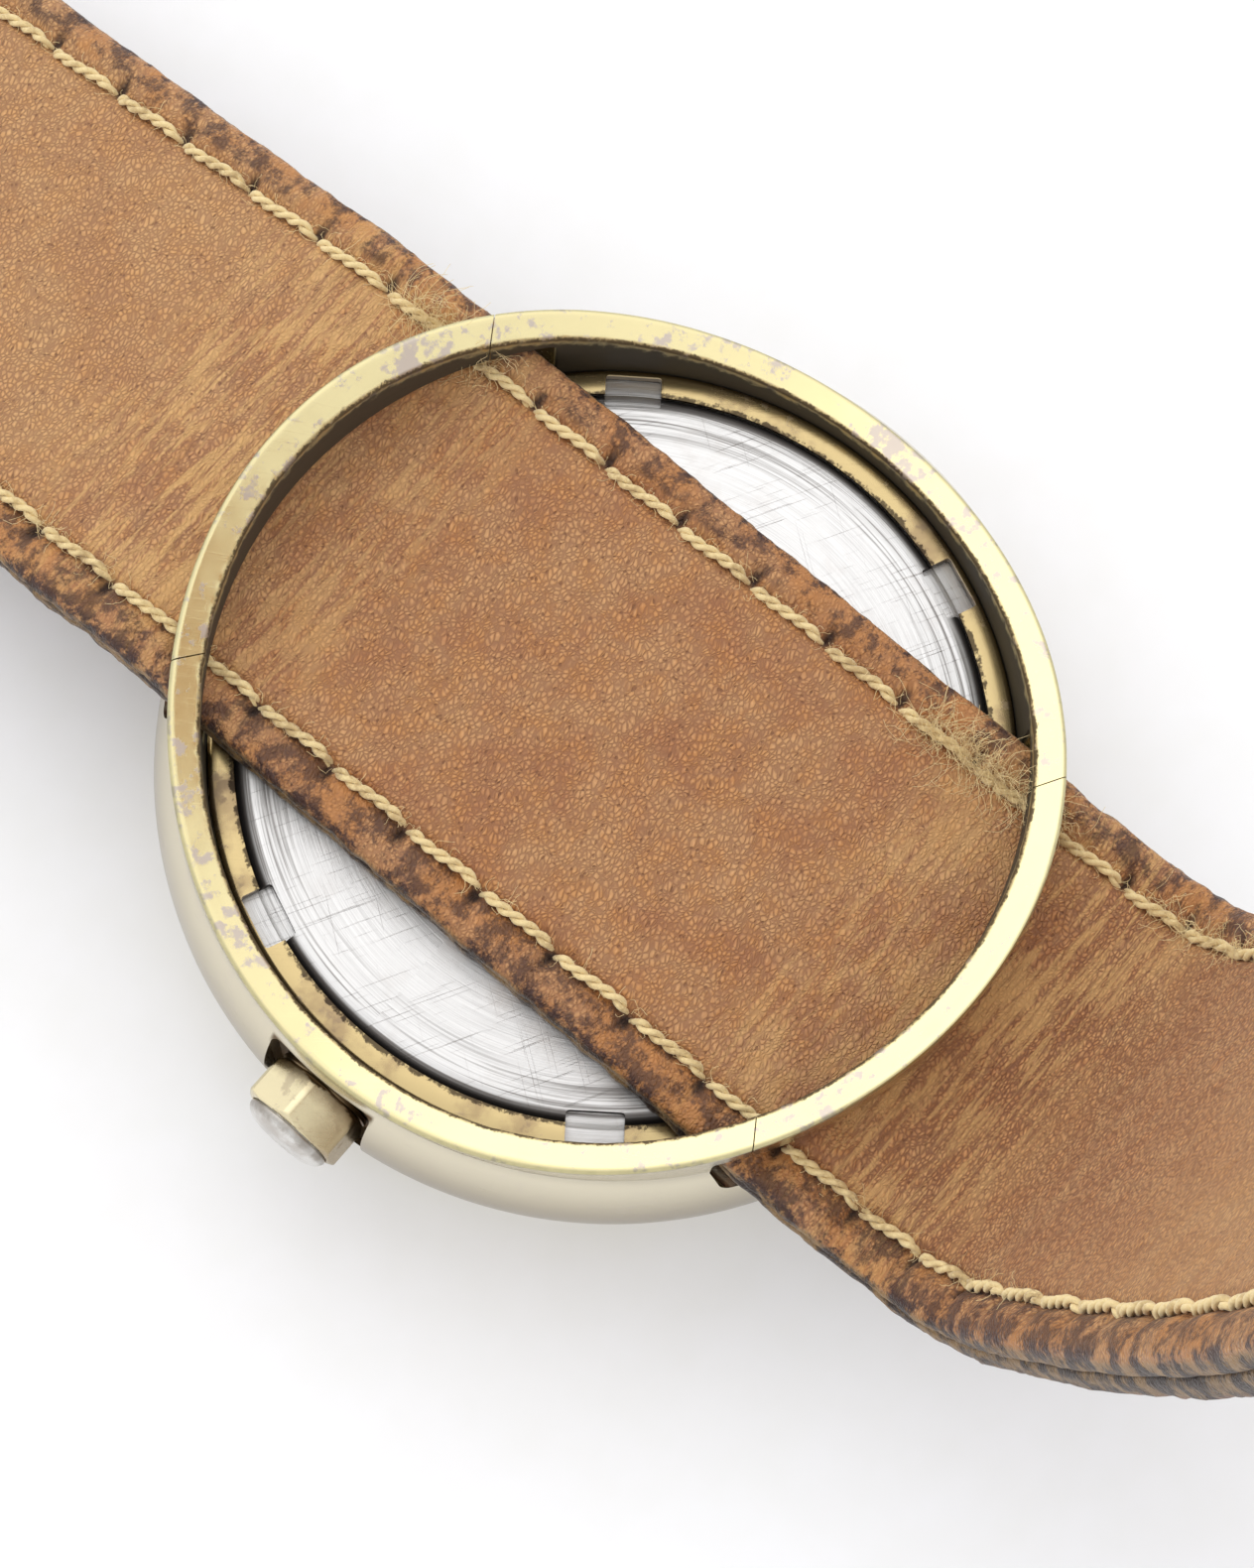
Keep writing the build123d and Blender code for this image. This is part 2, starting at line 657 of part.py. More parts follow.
# ---- strap: one path of straight runs and arcs, shared by every layer ----
lie_drop = 10.0              # the buckle end slopes down to the table by this angle
slope_run = 36.9
buckle_runs = [(15.4, 0, 0), (0, -25, lie_drop), (slope_run, 0, 0), (0, 40, lie_drop), (27.6, 0, 0)]
tail_runs = [(19.0, 0, 0), (0, 7.0, 72), (0, 110, 14), (0, 230, tail_length / 230 * 180 / pi)]


def strap_edge(runs, side, offset):
    # (y, z) end points, middles and directions along one end of the strap, this far above its
    # underside; an arc's radius is positive where the strap curls up towards its wrist side
    y, z, heading = 0.0, strap_floor_z + offset, 0.0
    pieces = []
    for length, radius, turn in runs:
        if radius == 0:
            y_end, z_end = y + length * cos(heading), z + length * sin(heading)
            pieces.append(("line", (side * y, z), (side * y_end, z_end)))
        else:
            bend = 1 if radius > 0 else -1
            r = abs(radius) - bend * offset
            new_heading = heading + bend * radians(turn)
            half = (heading + new_heading) / 2
            centre_y, centre_z = y - bend * r * sin(heading), z + bend * r * cos(heading)
            y_mid, z_mid = centre_y + bend * r * sin(half), centre_z - bend * r * cos(half)
            y_end, z_end = (centre_y + bend * r * sin(new_heading),
                            centre_z - bend * r * cos(new_heading))
            pieces.append(("arc", (side * y, z), (side * y_mid, z_mid), (side * y_end, z_end)))
            heading = new_heading
        y, z = y_end, z_end
    return pieces, (side * y, z), heading


def strap_strip(low, high, x_middle, width):
    # a layer of the strap between two offsets, its width centred on x_middle
    with BuildPart() as strip:
        with BuildSketch(Plane.YZ.offset(x_middle - width / 2)):
            with BuildLine():
                for offset in (low, high):
                    for side, runs in ((1, buckle_runs), (-1, tail_runs)):
                        for piece in strap_edge(runs, side, offset)[0]:
                            if piece[0] == "line":
                                Line(piece[1], piece[2])
                            else:
                                ThreePointArc(piece[1], piece[2], piece[3])
                for side, runs in ((1, buckle_runs), (-1, tail_runs)):
                    Line(strap_edge(runs, side, low)[1], strap_edge(runs, side, high)[1])
            make_face()
        extrude(amount=width)
    return strip.part


strap_thickness = lining_thickness + outer_thickness
tail_end, tail_heading = strap_edge(tail_runs, -1, 0)[1:]
bar_y, bar_z = strap_edge(buckle_runs, 1, outer_thickness)[1]
bar_y += 1.6
tail_plane = Plane((0, *tail_end), x_dir=(1, 0, 0),
                   z_dir=(0, sin(tail_heading), cos(tail_heading)))

with BuildPart() as tail_trim:
    # what rounds the tail to a blunt point
    with BuildSketch(tail_plane.offset(-6)):
        Rectangle(strap_width + 4, 16)
        with BuildLine():
            Polyline((-strap_width / 2, 9), (-strap_width / 2, 7))
            ThreePointArc((-strap_width / 2, 7), (0, -0.01), (strap_width / 2, 7))
            Polyline((strap_width / 2, 7), (strap_width / 2, 9), (-strap_width / 2, 9))
        make_face(mode=Mode.SUBTRACT)
    extrude(amount=12)
with BuildPart() as strap_holes:
    with BuildSketch(tail_plane.offset(-8)):
        with Locations(*[(0, 14 + 6.5 * hole) for hole in range(6)]):
            Circle(0.9)
    extrude(amount=16)

with BuildPart() as strap_outer:
    add(strap_strip(0, outer_thickness, 0, strap_width))
    add(tail_trim.part, mode=Mode.SUBTRACT)
    add(strap_holes.part, mode=Mode.SUBTRACT)
    # fold round the spring bar, open in the middle for the tang
    for side in (-1, 1):
        with BuildSketch(Plane.YZ.offset(side * 5.75 - 4.25)):
            with Locations((bar_y, bar_z)):
                Circle(1.55)
                Rectangle(1.6, 2.1, align=(Align.MAX, Align.CENTER))
                Circle(0.85, mode=Mode.SUBTRACT)
        extrude(amount=8.5)
save(strap_outer.part, "strap_outer_leather")

with BuildPart() as strap_lining:
    add(strap_strip(outer_thickness, strap_thickness, 0, strap_width))
    add(tail_trim.part, mode=Mode.SUBTRACT)
    add(strap_holes.part, mode=Mode.SUBTRACT)
save(strap_lining.part, "strap_lining_leather")

with BuildPart() as strap_stitching:
    for side in (-1, 1):
        add(strap_strip(strap_thickness, strap_thickness + 0.15, side * (strap_width / 2 - stitch_inset),
                        0.5))
    with BuildSketch(Plane.XY.offset(tail_end[1] - 9)):
        Rectangle(40, 120)
    extrude(amount=20, mode=Mode.SUBTRACT)
save(strap_stitching.part, "strap_stitching")

flat_floor_z = strap_edge(buckle_runs, 1, 0)[1][1]


def keeper(y_start, width):
    # a leather loop round the strap with room for the tail
    with BuildPart() as loop:
        with BuildSketch(Plane.XZ.offset(-y_start - width)):
            with Locations((0, flat_floor_z - 1.25)):
                Rectangle(strap_width + 2.8, 6.7, align=(Align.CENTER, Align.MIN))
            with Locations((0, flat_floor_z - 0.15)):
                Rectangle(strap_width + 0.6, 4.6, align=(Align.CENTER, Align.MIN), mode=Mode.SUBTRACT)
        extrude(amount=width)
        fillet(loop.edges().filter_by(Axis.Y).group_by(SortBy.LENGTH)[0].sort_by(Axis.Z)[-2:], 0.8)
    return loop.part


save(keeper(bar_y - 11.5, 4.5), "fixed_keeper")
save(keeper(bar_y - 24.0, 4.5), "floating_keeper")

# ---- buckle ----
buckle_plane = Plane((0, bar_y, bar_z), x_dir=(1, 0, 0),
                     z_dir=(0, sin(radians(buckle_tilt)), cos(radians(buckle_tilt))))
with BuildPart() as buckle_frame:
    with BuildSketch(buckle_plane.offset(-frame_thickness / 2)):
        with Locations((0, -1.1)):
            Rectangle(24.8, frame_reach + 2.1, align=(Align.CENTER, Align.MIN))
        with Locations((0, -2)):
            Rectangle(20.8, frame_reach + 1.0, align=(Align.CENTER, Align.MIN), mode=Mode.SUBTRACT)
    extrude(amount=frame_thickness)
    upright = buckle_frame.edges().filter_by(lambda edge: abs(edge.length - frame_thickness) < 1e-6)
    fillet(upright.sort_by(Axis.Y)[-2:], 2.6)
    with BuildSketch(Plane.YZ.offset(-14)):
        with Locations((bar_y, bar_z)):
            Circle(bar_tip_radius + 0.05)
    extrude(amount=28, mode=Mode.SUBTRACT)
    chamfer(buckle_frame.faces().sort_by(Axis.Z)[-1].edges(), 0.3)
save(buckle_frame.part, "buckle_frame")

with BuildPart() as buckle_tang:
    with BuildSketch(Plane.YZ.offset(-0.9)):
        with Locations((bar_y, bar_z)):
            Circle(1.4)
        with BuildLine():
            Polyline((bar_y, bar_z + 0.3), (bar_y, bar_z + 1.4), (bar_y + frame_reach - 0.5, bar_z + 0.6),
                     (bar_y + frame_reach + 1.2, bar_z - 0.1), (bar_y + frame_reach + 1.0, bar_z - 0.45),
                     (bar_y + frame_reach - 1.6, bar_z - 0.15), close=True)
        make_face()
        with Locations((bar_y, bar_z)):
            Circle(0.82, mode=Mode.SUBTRACT)
    extrude(amount=1.8)
save(buckle_tang.part, "buckle_tang")

with BuildPart() as spring_bar:
    with BuildSketch(Plane.YZ.offset(-10.3)):
        with Locations((bar_y, bar_z)):
            Circle(0.75)
    extrude(amount=20.6)
    with BuildSketch(Plane.YZ.offset(-12)):
        with Locations((bar_y, bar_z)):
            Circle(bar_tip_radius)
    extrude(amount=24)
save(spring_bar.part, "spring_bar")

print("spring bar", round(bar_y, 3), round(bar_z, 3), "flat floor", round(flat_floor_z, 3),
      "tail end", tail_end, round(degrees(tail_heading), 1))
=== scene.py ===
import bpy
import bmesh
import json
from math import atan2, ceil, copysign, cos, exp, hypot, pi, radians, sin, sqrt, tau
from mathutils import Matrix, Vector, noise


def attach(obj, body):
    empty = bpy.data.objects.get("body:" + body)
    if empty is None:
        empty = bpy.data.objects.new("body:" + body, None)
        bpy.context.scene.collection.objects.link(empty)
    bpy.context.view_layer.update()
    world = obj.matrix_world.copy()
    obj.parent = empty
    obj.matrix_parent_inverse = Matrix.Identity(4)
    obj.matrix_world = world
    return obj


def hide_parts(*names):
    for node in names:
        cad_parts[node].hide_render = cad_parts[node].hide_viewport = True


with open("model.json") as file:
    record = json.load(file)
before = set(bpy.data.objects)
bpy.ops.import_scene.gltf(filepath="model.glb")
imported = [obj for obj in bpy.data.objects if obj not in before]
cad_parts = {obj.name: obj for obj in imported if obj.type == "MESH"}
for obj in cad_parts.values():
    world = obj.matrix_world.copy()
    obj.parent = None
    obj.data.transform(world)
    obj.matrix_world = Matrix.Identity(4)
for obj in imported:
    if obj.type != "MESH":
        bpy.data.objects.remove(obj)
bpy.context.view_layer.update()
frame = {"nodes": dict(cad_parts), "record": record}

scene = bpy.context.scene
mm = 0.001
wristRadius = 33.4  # the rear rim follows the wrist
rimLow = 10.0  # the rim's low points above the table


# shader maths: a value is a socket, and an expression on values adds its Math nodes
class Value:
    def __init__(self, finish, socket):
        self.finish = finish
        self.socket = socket

    def maths(self, kind, other=0.0, flip=False):
        a, b = (other, self) if flip else (self, other)
        return self.finish.node("ShaderNodeMath", {"operation": kind}, {0: a, 1: b})

    def __add__(self, other):
        return self.maths("ADD", other)

    def __sub__(self, other):
        return self.maths("SUBTRACT", other)

    def __rsub__(self, other):
        return self.maths("SUBTRACT", other, True)

    def __mul__(self, other):
        return self.maths("MULTIPLY", other)

    def __truediv__(self, other):
        return self.maths("DIVIDE", other)

    def __pow__(self, other):
        return self.maths("POWER", other)

    __radd__ = __add__
    __rmul__ = __mul__

    def least(self, other):
        return self.maths("MINIMUM", other)

    def most(self, other):
        return self.maths("MAXIMUM", other)

    def root(self):
        return self.maths("SQRT")

    def size(self):
        return self.maths("ABSOLUTE")

    def ramp(self, low, high, to0=0.0, to1=1.0):
        # a smooth step between two values; low may be above high
        return self.finish.node("ShaderNodeMapRange", {"interpolation_type": "SMOOTHSTEP"},
                                {"Value": self, "From Min": low, "From Max": high,
                                 "To Min": to0, "To Max": to1})


class Finish:
    # one material: its tree, its shader and the ways in
    def __init__(self, name, **sockets):
        self.material = bpy.data.materials.new(name)
        self.material.use_nodes = True
        self.tree = self.material.node_tree
        self.shader = self.tree.nodes["Principled BSDF"]
        for socket, number in sockets.items():
            self.shader.inputs[socket.replace("_", " ")].default_value = number

    def node(self, kind, settings, sockets, out=None):
        made = self.tree.nodes.new(kind)
        for key, setting in settings.items():
            setattr(made, key, setting)
        for key, given in sockets.items():
            if isinstance(given, Value):
                self.tree.links.new(given.socket, made.inputs[key])
            elif isinstance(given, tuple) and made.inputs[key].type == "RGBA":
                made.inputs[key].default_value = (*given, 1)
            else:
                made.inputs[key].default_value = given
        if out is None:
            out = next(index for index, socket in enumerate(made.outputs) if socket.enabled)
        return Value(self, made.outputs[out])

    def place(self):
        # object coordinates in millimetres
        at = self.node("ShaderNodeTexCoord", {}, {}, "Object")
        return self.scaled(at, 1000)

    def along(self, name="strapMap"):
        # across and along the strap in millimetres
        return self.node("ShaderNodeUVMap", {"uv_map": name}, {})

    def mask(self, name):
        return self.node("ShaderNodeAttribute", {"attribute_name": name}, {}, "Fac")

    def scaled(self, vector, *amount):
        by = amount * 3 if len(amount) == 1 else amount
        return self.node("ShaderNodeVectorMath", {"operation": "MULTIPLY"}, {0: vector, 1: tuple(by)})

    def moved(self, vector, *amount):
        return self.node("ShaderNodeVectorMath", {"operation": "ADD"}, {0: vector, 1: tuple(amount)})

    def parts(self, vector):
        split = self.node("ShaderNodeSeparateXYZ", {}, {0: vector})
        return [Value(self, socket) for socket in split.socket.node.outputs]

    def joined(self, x, y, z=0.0):
        return self.node("ShaderNodeCombineXYZ", {}, {0: x, 1: y, 2: z})

    def cloud(self, vector, scale, detail=3.0, rough=0.5, warp=0.0):
        return self.node("ShaderNodeTexNoise", {"noise_dimensions": "3D"},
                         {"Vector": vector, "Scale": scale, "Detail": detail, "Roughness": rough,
                          "Distortion": warp})

    def cells(self, vector, scale, feature="F1", chance=1.0, out="Distance"):
        sockets = {"Vector": vector, "Scale": scale, "Randomness": chance}
        return self.node("ShaderNodeTexVoronoi", {"feature": feature}, sockets, out)

    def blend(self, share, a, b, kind="MIX"):
        # colours a to b
        settings = {"data_type": "RGBA", "blend_type": kind, "clamp_factor": True}
        return self.node("ShaderNodeMix", settings, {0: share, 6: a, 7: b}, 2)

    def relief(self, height, depth, under=None, strength=1.0):
        # depth in millimetres for a height of one
        sockets = {"Height": height, "Distance": depth * mm, "Strength": strength}
        if under is not None:
            sockets["Normal"] = under
        return self.node("ShaderNodeBump", {}, sockets)

    def set(self, **sockets):
        for socket, given in sockets.items():
            self.tree.links.new(given.socket, self.shader.inputs[socket.replace("_", " ")])
        return self.material


def around(finish, vector):
    # radius and angle about the case's axis
    x, y, z = finish.parts(vector)
    radius = (x * x + y * y).root()
    angle = y.maths("ARCTAN2", x)
    return radius, angle, x, y, z


# mesh helpers: sizes come in as millimetres, meshes go out in metres
def makeMesh(name, points, faces, maps=None, masks=None, sharp=35):
    mesh = bpy.data.meshes.new(name)
    mesh.from_pydata([Vector(p) * mm for p in points], [], faces)
    if maps is not None:
        layer = mesh.uv_layers.new(name="strapMap")
        for loop in mesh.loops:
            layer.data[loop.index].uv = maps[loop.vertex_index]
    for key, numbers in (masks or {}).items():
        attribute = mesh.attributes.new(key, "FLOAT", "POINT")
        attribute.data.foreach_set("value", numbers)
    mesh.update()
    shadeSmooth(mesh, sharp)
    piece = bpy.data.objects.new(name, mesh)
    scene.collection.objects.link(piece)
    return piece


def shadeSmooth(mesh, sharp=35):
    mesh.shade_smooth()
    mesh.set_sharp_from_angle(angle=radians(sharp))


def finishPiece(piece, material, body, slot, *nodes):
    piece.data.materials.clear()
    piece.data.materials.append(material)
    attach(piece, body)
    if nodes:
        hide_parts(*nodes)
    return piece


def gridFaces(rows, columns, loopRows=False, loopColumns=False, first=0):
    faces = []
    for row in range(rows if loopRows else rows - 1):
        for column in range(columns if loopColumns else columns - 1):
            nextRow = (row + 1) % rows
            nextColumn = (column + 1) % columns
            faces.append((first + row * columns + column, first + row * columns + nextColumn,
                          first + nextRow * columns + nextColumn, first + nextRow * columns + column))
    return faces


def facingOut(piece):
    shape = bmesh.new()
    shape.from_mesh(piece.data)
    bmesh.ops.recalc_face_normals(shape, faces=shape.faces)
    shape.to_mesh(piece.data)
    shape.free()


def lathe(name, profile, segments, heightAt=None, sharp=35, closed=True):
    # a closed profile of (radius, z) turned about the z axis; a radius of 0 closes on a pole
    points, faces = [], []
    rows = []
    for radius, z, *more in profile:
        if radius == 0:
            rows.append([len(points)])
            points.append((0, 0, z))
            continue
        row = []
        for segment in range(segments):
            angle = tau * segment / segments
            x, y = radius * cos(angle), radius * sin(angle)
            row.append(len(points))
            points.append((x, y, heightAt(x, y, z, *more) if heightAt else z))
        rows.append(row)
    pairs = list(zip(rows, rows[1:] + rows[:1])) if closed else list(zip(rows, rows[1:]))
    for low, high in pairs:
        for segment in range(segments):
            after = (segment + 1) % segments
            if len(low) == 1 and len(high) == 1:
                continue
            if len(low) == 1:
                faces.append((low[0], high[after], high[segment]))
            elif len(high) == 1:
                faces.append((low[segment], low[after], high[0]))
            else:
                faces.append((low[segment], low[after], high[after], high[segment]))
    piece = makeMesh(name, points, faces, sharp=sharp)
    facingOut(piece)
    shadeSmooth(piece.data, sharp)
    return piece


def rounded(corners, radius=0.12, steps=3, closed=True):
    # a polyline whose corners are rounded off
    out = []
    count = len(corners)
    for index in range(count):
        here = Vector(corners[index][:2])
        if not closed and index in (0, count - 1) or here.x == 0:
            out.append(tuple(corners[index]))
            continue
        before = Vector(corners[index - 1][:2]) - here
        after = Vector(corners[(index + 1) % count][:2]) - here
        cut = min(radius, before.length * 0.45, after.length * 0.45)
        start, end = here + before.normalized() * cut, here + after.normalized() * cut
        for step in range(steps + 1):
            t = step / steps
            point = start * (1 - t) ** 2 + here * 2 * t * (1 - t) + end * t ** 2
            out.append((point.x, point.y, *corners[index][2:]))
    return out


def prism(name, outline, low, high, turn=Matrix.Identity(3)):
    # a closed prism for cutting; outline in the xy plane, then turned
    points = [turn @ Vector((x, y, z)) for z in (low, high) for x, y in outline]
    count = len(outline)
    faces = [tuple(range(count))[::-1], tuple(range(count, 2 * count))]
    for index in range(count):
        after = (index + 1) % count
        faces.append((index, after, count + after, count + index))
    piece = makeMesh(name, points, faces)
    facingOut(piece)
    return piece


def cutWith(piece, cutters, how="DIFFERENCE", sharp=35, soften=0.0):
    # boolean cuts, then softened edges, applied to a plain mesh
    for cutter in cutters:
        cut = piece.modifiers.new("cut", "BOOLEAN")
        cut.operation = how
        cut.solver = "EXACT"
        cut.object = cutter
    if soften:
        bevel = piece.modifiers.new("soft", "BEVEL")
        bevel.width = soften * mm
        bevel.segments = 4
        bevel.limit_method = "ANGLE"
        bevel.angle_limit = radians(34)
        bevel.use_clamp_overlap = True
    bakeModifiers(piece, sharp)


def bakeModifiers(piece, sharp=35):
    made = bpy.data.meshes.new_from_object(piece.evaluated_get(bpy.context.evaluated_depsgraph_get()))
    piece.modifiers.clear()
    piece.data = made
    shadeSmooth(made, sharp)


def removeAll(*spares):
    for spare in spares:
        bpy.data.objects.remove(spare)


# camera, light and floor
cameraPlace = {
    "at": (-30.749, -18.436, 135.414),
    "right": (0.64369, -0.76372, 0.04890),
    "up": (0.73036, 0.63214, 0.25878),
    "lens": 77.82,
}
studio = {
    # the sky is brightest towards keySide and dims behind the camera
    "sky": (0.992, 0.994, 1.0), "skyLow": 1.05, "skyHigh": 1.40, "keySide": (0.30, 0.72, 0.62),
    "floor": (0.92, 0.92, 0.945),
    # name: (place, aimed at, size, watts, colour), millimetres
    "lights": {
        "softBoxBack": ((190, 300, 420), (0, 0, 5), 620, 0.4, (1.0, 0.985, 0.96)),
    },
}


def makeCamera():
    data = bpy.data.cameras.new("camera")
    data.sensor_fit = "VERTICAL"
    data.sensor_height = 36
    data.lens = cameraPlace["lens"]
    data.clip_start = 0.005
    data.clip_end = 20
    camera = bpy.data.objects.new("camera", data)
    right, up = Vector(cameraPlace["right"]), Vector(cameraPlace["up"])
    turn = Matrix((right, up, right.cross(up))).transposed()
    camera.matrix_world = Matrix.Translation(Vector(cameraPlace["at"]) * mm) @ turn.to_4x4()
    scene.collection.objects.link(camera)
    scene.camera = camera


def makeStudio():
    world = bpy.data.worlds.new("studio")
    world.use_nodes = True
    tree = world.node_tree
    sky = tree.nodes["Background"]
    sky.inputs["Color"].default_value = (*studio["sky"], 1)
    looking = tree.nodes.new("ShaderNodeTexCoord")
    towards = tree.nodes.new("ShaderNodeVectorMath")
    towards.operation = "DOT_PRODUCT"
    towards.inputs[1].default_value = Vector(studio["keySide"]).normalized()
    level = tree.nodes.new("ShaderNodeMapRange")
    level.inputs["From Min"].default_value = 0.1
    level.inputs["To Min"].default_value = studio["skyLow"]
    level.inputs["To Max"].default_value = studio["skyHigh"]
    tree.links.new(looking.outputs["Generated"], towards.inputs[0])
    tree.links.new(towards.outputs["Value"], level.inputs["Value"])
    tree.links.new(level.outputs["Result"], sky.inputs["Strength"])
    scene.world = world
    for name, (at, aim, size, watts, colour) in studio["lights"].items():
        data = bpy.data.lights.new(name, "AREA")
        data.shape = "DISK"
        data.size = size * mm
        data.energy = watts
        data.color = colour
        light = bpy.data.objects.new(name, data)
        away = Vector(at) - Vector(aim)
        light.matrix_world = (Matrix.Translation(Vector(at) * mm)
                              @ away.to_track_quat("Z", "Y").to_matrix().to_4x4())
        scene.collection.objects.link(light)
    half = 1500
    floor = makeMesh("floor", [(-half, -half, -0.02), (half, -half, -0.02), (half, half, -0.02),
                               (-half, half, -0.02)], [(0, 1, 2, 3)])
    paper = Finish("floorPaper", Roughness=0.7)
    grain = paper.cloud(paper.place(), 0.4, 2)
    paper.set(Base_Color=paper.blend(grain, studio["floor"], (0.88, 0.88, 0.88)))
    floor.data.materials.append(paper.material)
    scene.view_settings.view_transform = "Standard"
    scene.view_settings.look = "None"


makeCamera()
makeStudio()
print("camera and studio set")


# worn gold plate
def goldFinish(name, colour, worn, wear=0.6):
    # returns the parts of the look, so that a piece can add its own stains and painted shade
    gold = Finish(name, Metallic=1.0)
    at = gold.place()
    look = {"at": at, "haze": gold.cloud(at, 0.35, 4, 0.6), "spots": gold.cloud(at, 1.6, 5, 0.62),
            "fine": gold.cloud(at, 9.0, 3, 0.6)}
    radius, angle, x, y, z = around(gold, at)
    look.update(radius=radius, angle=angle, x=x, y=y, z=z)
    lines = gold.cloud(gold.joined(radius * 9.0, angle * 6.0, z * 6.0), 1.6, 4, 0.65)
    turned = gold.node("ShaderNodeVectorRotate", {"rotation_type": "AXIS_ANGLE"},
                       {"Vector": at, "Angle": 0.9})
    scratch = gold.cloud(gold.scaled(turned, 0.35, 9.0, 1.0), 1.5, 2, 0.5).ramp(0.60, 0.68)
    rubbed = look["spots"] * 0.62 + look["haze"] * 0.5 + look["fine"] * 0.08
    look["rubbed"] = rubbed.ramp(0.67 - 0.06 * wear, 0.74 - 0.06 * wear)
    look["tone"] = gold.blend(look["haze"], colour, tuple(c * 0.88 for c in colour))
    look["worn"] = worn
    look["rough"] = 0.17 + look["haze"] * 0.10 + lines.ramp(0.5, 0.75) * 0.06
    look["height"] = lines * 0.3 + scratch * 0.3 + look["fine"] * 0.08
    return gold, look


def goldDone(gold, look, shown=None):
    # the rubbed patches go over the colour, then everything is linked
    rubbed = look["rubbed"] if shown is None else look["rubbed"] * shown
    tone = gold.blend(rubbed * 0.75, look["tone"], look["worn"])
    for share, stain in look.get("stains", []):
        tone = gold.blend(share, tone, stain)
    rough = look["rough"] + rubbed * 0.14
    for share, _ in look.get("stains", []):
        rough = rough + share * look["stainRough"]
    height = look["height"] + rubbed * 0.5
    return gold.set(Base_Color=tone, Roughness=rough, Normal=gold.relief(height, 0.004, strength=0.6))


def casePlate():
    gold, look = goldFinish("wornGoldPlate", (0.88, 0.77, 0.43), (0.52, 0.45, 0.46), 0.60)
    radius, x, y, z, spots, fine = (look[key] for key in ("radius", "x", "y", "z", "spots", "fine"))
    rim = rimLow + wristRadius - (wristRadius ** 2 - y * y).root()
    face = (z - rim + 0.34).ramp(0.0, 0.16)
    # painted shade: the flank is painted a duller, darker gold than the face, and its lower belly darker
    # still
    flank = radius.ramp(16.0, 16.7) * (1 - face)
    look["tone"] = gold.blend(flank * 0.9, look["tone"], (0.66, 0.61, 0.49))
    bellyShade = flank * z.ramp(9.5, 5.4) * z.ramp(1.6, 4.6)
    look["tone"] = gold.blend(bellyShade * 0.85, look["tone"], (0.25, 0.20, 0.13))
    # the inner wall is stained and painted with shade inside the case, darker further down and less so just
    # under the rim
    inner = radius.ramp(15.97, 15.86) * z.ramp(7.7, 7.9)
    stain = inner * (rim - z + spots * 1.4 - 0.55).ramp(0.15, 0.75)
    edge = inner * (1 - stain) * 0.55
    nick = (radius + spots * 0.5 + fine * 0.25).ramp(16.30, 16.20) * (z - rim + 0.3).ramp(0.0, 0.2)
    bevel = radius.ramp(16.80, 16.93) * (z - rim + 0.45).ramp(0.0, 0.2)
    # grime and painted shade in the crown's pocket
    pocket = x.ramp(-16.3, -16.8) * x.ramp(-17.35, -17.1) * y.size().ramp(2.6, 2.4)
    pocket = pocket * (z - 6.6).size().ramp(2.9, 2.65)
    look["stains"] = [(edge, (0.30, 0.17, 0.05)), (stain * 0.96, (0.016, 0.010, 0.008)),
                      (nick * 0.8, (0.10, 0.07, 0.05)),
                      (bevel * (0.30 + spots * 0.5), (0.32, 0.31, 0.18)),
                      (pocket * (0.5 + spots * 0.7), (0.10, 0.05, 0.015))]
    look["stainRough"] = 0.45
    gold.set(Metallic=1 - stain * 0.95)
    return goldDone(gold, look, 0.10 + face * 0.90)


def ringPlate():
    # tan gold, stained dark beside the disc, with painted shade down the notches' sides
    gold, look = goldFinish("stainedGoldRing", (0.57, 0.44, 0.22), (0.40, 0.31, 0.20), 0.3)
    radius, z, spots, fine, haze = (look[key] for key in ("radius", "z", "spots", "fine", "haze"))
    beside = radius.ramp(15.15, 14.78)
    specks = (spots * 0.6 + fine * 0.3 + beside * 0.30).ramp(0.66, 0.76)
    # painted shade down the notches' sides
    side = z.ramp(8.79, 8.70)
    look["stains"] = [(haze.ramp(0.45, 0.62) * 0.55, (0.27, 0.18, 0.11)),
                      (specks * 0.85, (0.035, 0.024, 0.018)),
                      (side * 0.85, (0.05, 0.035, 0.025))]
    look["stainRough"] = 0.12
    return goldDone(gold, look)


